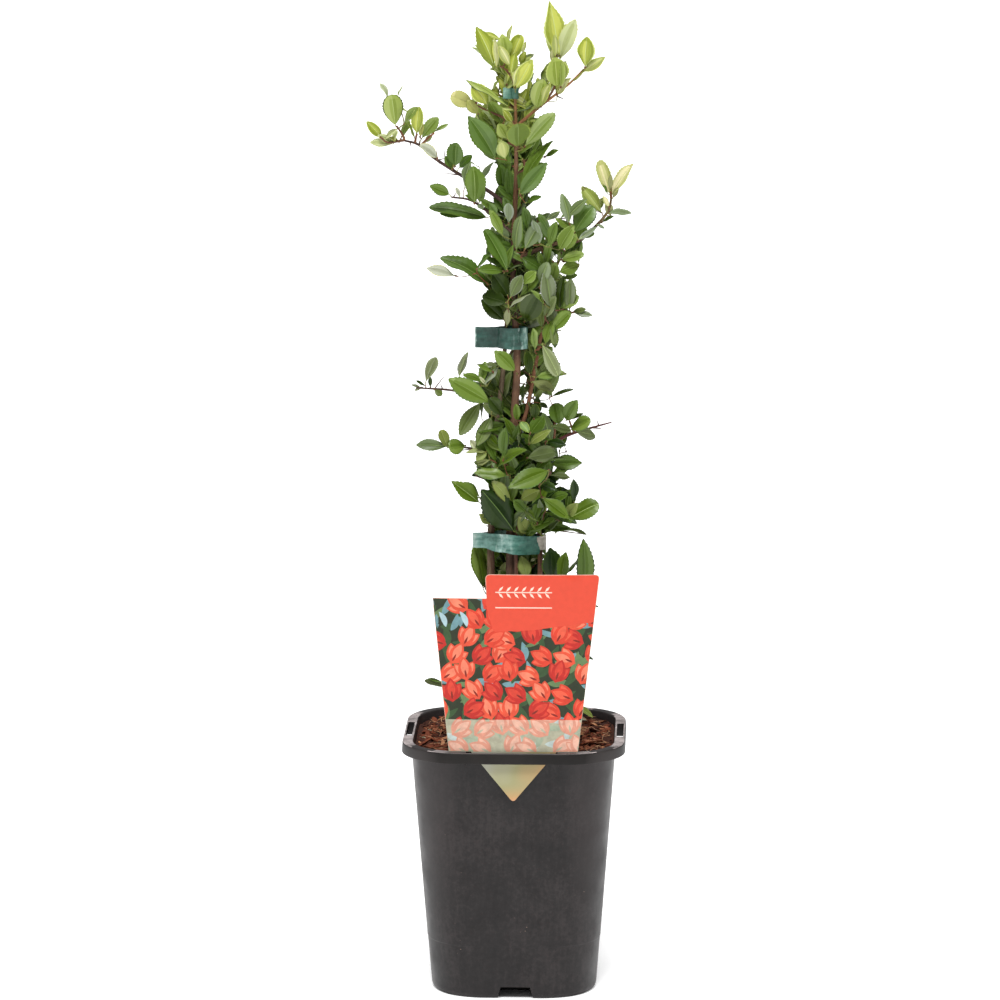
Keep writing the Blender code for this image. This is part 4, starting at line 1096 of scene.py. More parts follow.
# --------------------------------------------------------- stems and boughs
# way points (mm), base and tip radius, root flare: the frame's own limbs
STEMS = {
    "stem_main": (((0, 0, 172.2), (-3, 0, 287), (-1.6, 0, 377), (1.2, 0, 430), (-1.6, 0, 493), (0.5, 0, 560),
                   (-0.3, 0, 619)), 3.9, 0.8, 1.2),
    "stem_left": (((-11, -1, 172.2), (-16.6, -1, 288), (-13.8, 0, 370), (-9, 2, 418), (-6.5, 5, 452), (-5.9, 6, 480)),
                  3.3, 0.9, 0.8),
    "stem_right": (((10.5, 0, 172.2), (16.9, 0, 287), (15.2, -1, 333), (19, -1, 350), (25.7, -2, 374), (27, -2, 396)),
                   2.3, 0.9, 0.7),
    "stem_short": (((4, -9.5, 172.2), (0.9, -5.2, 288), (1.0, -5.2, 312), (4.5, -6, 337)), 1.7, 0.9, 0.5),
}
BOUGHS = {
    "bough_upper_right": (((-1.6, 0, 377), (6.6, 1, 393), (12, 2, 419), (18.8, 4, 456), (25.5, 6, 487), (31, 8, 506)), 1.5, 0.8),
    "bough_left_arm": (((-0.4, 0, 531), (-14.8, -1, 545), (-37.4, -3, 558.7), (-54.6, -5, 570), (-65, -6, 579), (-75, -6, 582)), 1.5, 0.7),
    "bough_left_second": (((-0.9, 0, 518), (-17.8, -4, 533), (-30, -7, 541.7), (-42.8, -9, 544)), 1.0, 0.6),
    "bough_right_arm": (((-1.6, 0, 496), (11.2, -2, 506), (30.2, -4, 513), (42.7, -5, 514.5), (54.5, -5, 524.4),
                         (63.2, -5, 536), (65.1, -5, 549)), 1.5, 0.7),
    "bough_top_right": (((0.4, 0, 591), (15.8, -1, 604), (35.7, -2, 619.7), (46, -2, 630)), 1.1, 0.6),
    "bough_thorn_right": (((25.9, -2, 375.5), (36, -3, 381), (50, -5, 386), (65.5, -7, 390.7)), 1.2, 0.4),
    "bough_twig_left": (((-10.7, 0, 402), (-27.4, -4, 407.8), (-44, -6, 412), (-67, -7, 413.6)), 1.0, 0.5),
    "bough_twig_low_left": (((-13.9, 0, 367), (-26, -2, 371), (-46, -5, 373.3)), 0.9, 0.5),
    "bough_back_upper": (((-1.4, 0, 484), (2, 14, 497), (4, 32, 511)), 1.3, 0.7),
    "bough_back_lower": (((-1.8, 0, 368), (-4, 13, 378), (-8, 30, 392)), 1.3, 0.7),
}
BARK = {
    "main": bark_material("bark_main", [(0.17, (84, 62, 48)), (0.305, (80, 57, 44)), (0.36, (108, 80, 60)), (0.43, (104, 76, 56)),
                                        (0.475, (58, 37, 28)), (0.51, (62, 40, 27)), (0.54, (88, 59, 34)), (0.575, (90, 64, 37)),
                                        (0.61, (150, 108, 66))],
                          (128, 92, 68)),
    "grey": bark_material("bark_grey", [(0.17, (74, 52, 38)), (0.30, (74, 50, 34)), (0.36, (98, 84, 64)), (0.46, (100, 84, 64))],
                          (122, 106, 82)),
    "red": bark_material("bark_red_young", [(0.17, (84, 56, 44)), (0.32, (92, 62, 48)), (0.37, (122, 86, 60)), (0.41, (116, 78, 54)), (0.52, (102, 66, 42)),
                                            (0.61, (150, 104, 66))], (132, 86, 60)),
    "dark": bark_material("bark_dark_twig", [(0.37, (62, 40, 34)), (0.50, (66, 44, 38)), (0.60, (60, 42, 38))], (92, 68, 56), 0.3),
    "arm": bark_material("bark_arm", [(0.49, (66, 44, 30)), (0.53, (74, 54, 32)), (0.55, (128, 112, 62))], (104, 80, 52), 0.2),
    "thorn": bark_material("bark_thorn_shoot", [(0.36, (88, 46, 42)), (0.40, (78, 40, 40))], (108, 66, 58), 0.3),
}
BARK_OF = {"stem_main": "main", "stem_left": "grey", "stem_right": "red", "stem_short": "red",
           "bough_upper_right": "red", "bough_left_arm": "dark", "bough_left_second": "dark",
           "bough_right_arm": "arm", "bough_top_right": "red", "bough_thorn_right": "thorn",
           "bough_twig_left": "dark", "bough_twig_low_left": "dark", "bough_back_upper": "red",
           "bough_back_lower": "red"}
limb_points = []          # (position mm, direction, radius mm)


def limb(name, way, base, tip, flare=0.0):
    total = sum((Vector(b) - Vector(a)).length for a, b in zip(way, way[1:]))
    count = max(24, int(total / 1.1))
    path = curve_points(way, count)
    if flare:
        # upright on its flat cut
        for i, p in enumerate(path):
            rise = p.z - path[0].z
            if 0 < rise < 4.0:
                k = 1 - rise / 4.0
                path[i] = Vector((p.x * (1 - k) + path[0].x * k, p.y * (1 - k) + path[0].y * k, p.z))
    rng = random.Random(name)
    seed = rng.uniform(0, 50)
    nodes, s = [], rng.uniform(4, 9)
    while s < total - 3:
        nodes.append((s, rng.uniform(0, 2 * math.pi)))
        s += rng.uniform(7.5, 14.0)
    run, radii, where = 0.0, [], []
    for i, p in enumerate(path):
        if i:
            run += (p - path[i - 1]).length
        u = min(run / total, 1.0)
        radii.append(tip + (base - tip) * (1 - u) ** 0.75 + flare * math.exp(-run / 5.0))
        where.append(run)

    def relief(i, a):
        x, y = math.cos(a), math.sin(a)
        r = radii[i]
        ridge = noise.noise(Vector((x * 2.6, y * 2.6, where[i] * 0.05 + seed)))
        fine = noise.noise(Vector((x * 6.0, y * 6.0, where[i] * 0.22 + seed)))
        out = 1.0 + 0.055 * ridge + 0.04 * fine
        for at_s, side in nodes:
            d = where[i] - at_s
            if abs(d) < 2.4:
                face = 0.5 + 0.5 * math.cos(a - side)
                bud = math.exp(-(d / 0.9) ** 2)
                out += (0.05 + 0.16 * face ** 3) * bud * min(1.0, 1.6 / r)
                out -= 0.05 * math.exp(-((d - 1.3) / 0.35) ** 2)
        return min(out, 1.25)

    batch = Batch()
    sides = 26 if base > 2 else 20 if base > 1.4 else 16
    sweep(batch, [p * MM for p in path], [r * MM for r in radii], sides, 0, relief)
    for p, (t, _, _), r in zip(path, frames_along(path), radii):
        limb_points.append((p.copy(), t, r))
    obj = batch.build(name + "_bark", [BARK[BARK_OF[name]]], 60)
    finish_piece(obj, "stem_bark" if name.startswith("stem") else "young_bark", name)


for limb_name, (way, base, tip, flare) in STEMS.items():
    limb(limb_name, way, base, tip, flare)
for limb_name, (way, base, tip) in BOUGHS.items():
    limb(limb_name, way, base, tip)

# ----------------------------------------------------------- foliage masses
# centre, half sizes (mm), lean: where the frame holds leaves; share of inner
# growth, tones of that growth
MASSES = {
    "foliage_top_left": ((-18.5, -3, 630), (15.5, 16, 28.5), -14, 0.5, "Yyyb"),
    "foliage_top_mid": ((19, 2, 638.5), (15, 17, 36.5), 6, 0.45, "Yyyb"),
    "foliage_top_right": ((45.5, -2, 628.5), (14.5, 14, 23), 12, 0.25, "Yyb"),
    "foliage_neck": ((-3, -3, 588), (30, 25, 22), 0, 0.8, "ybmm"),
    "foliage_back_top": ((3, 28, 570), (22, 15, 30), 0, 1.0, "bmmd"),
    "foliage_arm_left_tip": ((-76, -6, 599), (23.4, 17, 20.5), 0, 0.2, "bmy"),
    "foliage_arm_left_mid": ((-34, -3, 569), (16.5, 17, 21), 0, 0.45, "mmd"),
    "foliage_arm_left_low": ((-38, -9, 538), (19.5, 14, 11.5), 8, 0.3, "mmd"),
    "foliage_shoulder_left": ((-28.5, -2, 501), (21.5, 23, 23), 0, 0.7, "mmd"),
    "foliage_core_upper": ((4, -5, 525), (22, 25, 41), 0, 1.0, "mmdd"),
    "foliage_core_back": ((2, 27, 508), (24, 16, 34), 0, 1.0, "bmmd"),
    "foliage_right_upper": ((39, -3, 525), (17.5, 18, 25), 0, 0.6, "bmg"),
    "foliage_arm_right_tip": ((66, -5, 549.5), (13.8, 11, 18.8), 10, 0.2, "Yy"),
    "foliage_mid_upper": ((8.6, -3, 476.5), (32, 26, 17.5), 0, 0.9, "mmd"),
    "foliage_mid_upper_back": ((5, 28, 456), (26, 15, 20), 0, 1.0, "bmmd"),
    "foliage_mid_right": ((25, -2, 431), (17.5, 22, 29), 0, 0.55, "mmb"),
    "foliage_mid_left": ((-23, -1, 412), (20, 21, 20), 0, 0.45, "mmb"),
    "foliage_mid_back": ((0, 27, 414), (26, 14, 24), 0, 1.0, "bmmd"),
    "foliage_twig_left": ((-55, -7, 421), (13, 9, 12), 0, 0.0, "m"),
    "foliage_low_right": ((39, -4, 389), (16, 15, 15), 0, 0.4, "mb"),
    "foliage_twig_low_left": ((-51, -5, 375), (16, 10, 8.5), 0, 0.0, "m"),
    "foliage_low_core": ((1, -5, 377), (32, 24, 23), 0, 0.9, "mmd"),
    "foliage_low_back": ((-2, 27, 362), (28, 16, 29), 0, 1.0, "bmmd"),
    "foliage_lower": ((8, -4, 337.5), (47, 27, 24), 0, 0.8, "mmdb"),
    "foliage_base_left": ((-27, -6, 286), (7, 8, 20), -8, 0.3, "mb"),
    "foliage_base_right": ((38, -6, 284), (17.5, 14, 25), 6, 0.6, "mb"),
    "foliage_base_back": ((-2, 22, 290), (25, 14, 34), 0, 1.0, "bmmd"),
    "foliage_foot_left": ((-36, -6, 212), (25, 15, 17), -8, 0.9, "mbm"),
    "foliage_foot_right": ((32, -6, 238), (24, 15, 25), 6, 0.9, "mbm"),
}
MASS_ARR = [(n, np.array(c, float), np.array(h, float), math.radians(l)) for n, (c, h, l, _, _) in MASSES.items()]


def front_of(x, z):
    """The crown's front skin over a place, and its depth."""
    best = None
    for _, c, h, lean in MASS_ARR:
        dx, dz = x - c[0], z - c[2]
        lx = dx * math.cos(lean) - dz * math.sin(lean)
        lz = dx * math.sin(lean) + dz * math.cos(lean)
        k = 1 - (lx / h[0]) ** 2 - (lz / h[2]) ** 2
        if k > 0 and c[1] < 10:
            y = c[1] - h[1] * math.sqrt(k)
            best = y if best is None else min(best, y)
    return best


# ------------------------------------------------------------------- leaves
def leaf_points(length, width, wide_at, blunt, fold, curl, twist, teeth, fine, rng):
    """One leaf in its own frame: X along it, Y across, Z out of its upper face."""
    stations = 2 * teeth
    t = np.linspace(0.0, 1.0, stations + 1)
    a = wide_at / (1 - wide_at) * blunt
    body = np.power(np.clip(t, 1e-6, 1), a) * np.power(np.clip(1 - t, 1e-6, 1), blunt)
    body /= body.max()
    h = body * width / 2
    h[0], h[-1] = max(0.28, width * 0.035), 0.10
    h = np.maximum(h, np.linspace(0.3, 0.1, stations + 1))
    saw = np.ones_like(t)
    push = np.zeros_like(t)
    odd = np.arange(stations + 1) % 2 == 1
    live = (t > 0.14) & (t < 0.97)
    bite = 1.8 if length > 22 and fine else 1.45 if length > 13 and fine else 1.1
    saw[odd & live] = 1.0 + 0.022 * bite
    saw[~odd & live] = 1.0 - 0.028 * bite
    push[odd & live] = 0.3 / stations
    midrib = np.clip(0.0115 * length * (1 - 0.62 * t), 0.10, 0.30)
    cm = np.clip(midrib / h, 0.03, 0.3)
    if fine:
        cols = [-1.0, -0.88, -0.62, -0.33, None, 0.0, None, 0.33, 0.62, 0.88, 1.0]
    else:
        cols = [-1.0, -0.86, -0.45, None, None, 0.45, 0.86, 1.0]
    n_col = len(cols)
    c = np.zeros((stations + 1, n_col))
    first_none = True
    for j, value in enumerate(cols):
        if value is None:
            c[:, j] = -cm if first_none else cm
            first_none = False
        else:
            c[:, j] = value
    ac = np.abs(c)
    edge = ac > 0.95
    hh = h[:, None] * np.where(edge, saw[:, None], 1.0)
    y = c * hh
    ay = np.abs(y)
    tt = np.repeat(t[:, None], n_col, 1)
    xx = tt + np.where(edge, push[:, None], 0.0) - 0.10 * (ac ** 2) * np.minimum(tt, 0.25) * 0.0
    z = ay * math.tan(fold) - 0.34 * (ac ** 2) * h[:, None] * rng.uniform(0.1, 1.2)
    # the blade swells between its side veins
    veins = max(4, teeth - 3)
    phase = 2 * np.pi * (veins * tt - 1.35 * ac)
    z += 0.021 * width * np.cos(phase) * np.clip(ac * (1 - ac) * 4, 0, 1) * (1 if fine else 0.6)
    # slow waves along the margin
    for side in (-1, 1):
        wave = rng.uniform(0.012, 0.05) * length * np.sin(2 * np.pi * (rng.uniform(0.9, 1.6) * tt + rng.random()))
        z += np.where(c * side > 0, wave * ac ** 2 * np.sin(np.pi * tt), 0.0)
    # sunken midrib above
    z -= np.where(ac < 0.02, 0.35, 0.0) * midrib[:, None] if fine else 0.0
    low = z - np.clip(0.012 * length, 0.16, 0.3)
    low -= np.where(ac < 0.31, 1.0, 0.0) * np.where(ac < 0.02, 1.0, 0.35) * midrib[:, None] * 0.7
    # twist, then bend the spine
    bend = curl * tt
    spine_t = np.linspace(0, 1, 61)
    sx = np.concatenate([[0], np.cumsum(np.cos(curl * (spine_t[:-1] + 0.5 / 60)) / 60)])
    sz = np.concatenate([[0], np.cumsum(-np.sin(curl * (spine_t[:-1] + 0.5 / 60)) / 60)])
    out = []
    for zz in (z, low):
        ang = twist * tt
        y2 = y * np.cos(ang) - zz * np.sin(ang)
        z2 = y * np.sin(ang) + zz * np.cos(ang)
        px = np.interp(xx, spine_t, sx) * length + z2 * np.sin(bend)
        pz = np.interp(xx, spine_t, sz) * length + z2 * np.cos(bend)
        out.append(np.stack([px, y2, pz], -1))
    chord = math.atan2(sz[-1], sx[-1])
    scale = 1.0 / math.hypot(sx[-1], sz[-1])
    ca, sa = math.cos(-chord), math.sin(-chord)
    done = []
    for p in out:
        q = p.copy()
        q[..., 0] = (p[..., 0] * ca - p[..., 2] * sa)
        q[..., 2] = (p[..., 0] * sa + p[..., 2] * ca)
        q[..., 0] *= scale
        done.append(q)
    return done[0], done[1], cols


_faces_cache = {}


def leaf_faces(stations, n_col, fine):
    """Quads of a closed leaf and what each one shows."""
    key = (stations, n_col, fine)
    if key in _faces_cache:
        return _faces_cache[key]
    quads, kinds = [], []
    size = (stations + 1) * n_col

    def idx(i, j, lower):
        return lower * size + i * n_col + j

    mid = (4, 5) if fine else (3,)
    for i in range(stations):
        for j in range(n_col - 1):
            # strips: outer, middle and inner of the left half, midrib, the same of the right half, rim
            if fine:
                kind = (7, 0, 1, 2, 3, 3, 4, 5, 6, 7)[j]
            else:
                kind = (7, 0, 2, 3, 4, 6, 7)[j]
            if kind < 3 and i >= stations * 0.84:
                kind = 10
            elif 3 < kind < 7 and i >= stations * 0.84:
                kind = 11
            quads.append((idx(i, j, 0), idx(i + 1, j, 0), idx(i + 1, j + 1, 0), idx(i, j + 1, 0)))
            kinds.append(kind)
            quads.append((idx(i, j, 1), idx(i, j + 1, 1), idx(i + 1, j + 1, 1), idx(i + 1, j, 1)))
            kinds.append(9 if j in mid else 12 if j in (0, 1, n_col - 3, n_col - 2) else 8)
        quads.append((idx(i, 0, 0), idx(i, 0, 1), idx(i + 1, 0, 1), idx(i + 1, 0, 0))); kinds.append(7)
        quads.append((idx(i, n_col - 1, 0), idx(i + 1, n_col - 1, 0), idx(i + 1, n_col - 1, 1), idx(i, n_col - 1, 1))); kinds.append(7)
    for j in range(n_col - 1):
        quads.append((idx(0, j, 0), idx(0, j + 1, 0), idx(0, j + 1, 1), idx(0, j, 1))); kinds.append(3)
        quads.append((idx(stations, j, 0), idx(stations, j, 1), idx(stations, j + 1, 1), idx(stations, j + 1, 0))); kinds.append(7)
    # X along, Y left, Z up: the upper quads above wind clockwise, so turn them all
    quads = np.array(quads)[:, ::-1]
    _faces_cache[key] = (quads, np.array(kinds))
    return _faces_cache[key]


# what a tone's leaf shows: outer, middle and inner strip of its left half, midrib,
# inner, middle and outer strip of its right half, rim, underside, its midrib,
# left tip, right tip, underside near the margin
def tone_set(tone, rng, flags=""):
    i = rng.choice((0, 1, 1, 2))
    # one half of each leaf is painted a shade lighter than the other: a painted lit half and a painted shaded half
    left, right = (i + 1, i) if rng.random() < 0.5 else (i, i + 1)
    if tone == "o":
        left = right = i

    def shade(n, key=None):
        return (key or tone) + str(max(0, min(3, n)))

    if tone == "c":
        return ["c1", "c1", "c0", "c0", "c0", "c1", "c1", "Y2", "c0", "v2", "c1", "c1", "c0"]
    if tone in "Yy":
        young = tone == "Y"
        vein = "y3" if young else "v2"
        rim = rng.choice(("y3", "y2", "y2") if young else ("y1", "b3", "y0"))
        out = [shade(left - 1), shade(left), shade(left + 1), vein, shade(right + 1), shade(right), shade(right - 1), rim]
        return out + ["g2", "g3", shade(left), shade(right - 1), "g1"]
    if tone == "g":
        under = rng.choice((0, 1, 1, 2))
        return [shade(left, "m"), shade(left, "m"), shade(left - 1, "m"), "v1", shade(right - 1, "m"), shade(right, "m"),
                shade(right, "m"), "m2", shade(under), rng.choice(("g3", "g2", "v2")), shade(left, "m"), shade(right, "m"),
                shade(under + 1)]
    pale = "m" in flags
    vein = {"d": "v0" if pale else "d2", "m": "v1" if pale else "m2", "b": "v2" if pale else "b2", "o": "o2", "s": "v1"}[tone]
    rim = {"d": ("e0", "d1", "m0"), "m": ("m1", "m2", "e0"), "b": ("b1", "b2", "v0"), "o": ("e1", "o1", "e1"), "s": ("m1", "s2", "s3")}[tone]
    inner = 1 if tone == "o" else 0
    out = [shade(left), shade(left), shade(left - 1 + inner), vein, shade(right - 1 + inner), shade(right), shade(right),
           rng.choice(rim)]
    under = rng.choice(("g0", "g1"))
    return out + [under, "v1", shade(left + (1 if tone in "bo" else 0)), shade(right), "g1"]


class LeafBatch(Batch):
    def __init__(self):
        super().__init__()
        self.keys = []

    def slot(self, key):
        if key not in self.keys:
            self.keys.append(key)
        return self.keys.index(key)

    def leaf(self, base, tip, normal, width, tone, rng, flags="", fine=True, fold=None, curl=None, twist=None):
        """A leaf from its base to its tip, its upper face towards normal (mm)."""
        base, tip = Vector(base), Vector(tip)
        axis = tip - base
        length = axis.length
        if length < 1.0:
            return
        axis.normalize()
        normal = (normal - axis * normal.dot(axis)).normalized()
        side = normal.cross(axis)
        if "p" in flags:
            blunt, wide = 1.15, 0.5
        elif "r" in flags:
            blunt, wide = 0.55, 0.6
        else:
            blunt, wide = (rng.uniform(0.86, 1.12), rng.uniform(0.46, 0.56)) if rng.random() < 0.6 else \
                (rng.uniform(0.68, 0.86), rng.uniform(0.5, 0.6))
        fold = math.radians(rng.uniform(9, 28)) if fold is None else fold
        curl = math.radians(rng.uniform(8, 44)) if curl is None else curl
        twist = math.radians(rng.gauss(0, 13)) if twist is None else twist
        if fine:
            teeth = 6 if length < 9 else 8 if length < 15 else 10 if length < 24 else 12
        else:
            teeth = 5 if length < 15 else 6
        upper, lower, cols = leaf_points(length, width, wide, blunt, fold, curl, twist, teeth, fine, rng)
        local = np.concatenate([upper.reshape(-1, 3), lower.reshape(-1, 3)])
        frame_m = np.array([list(axis), list(side), list(normal)])
        world = local @ frame_m + np.array(list(base))
        quads, kinds = leaf_faces(2 * teeth, len(cols), fine)
        tones = tone_set(tone, rng, flags)
        if "t" in flags:
            tones[10] = tones[11] = "e1" if tone in "oby" else "e0"
        lut = np.array([self.slot(k) for k in tones])
        self.add(world * MM, quads, lut[kinds])
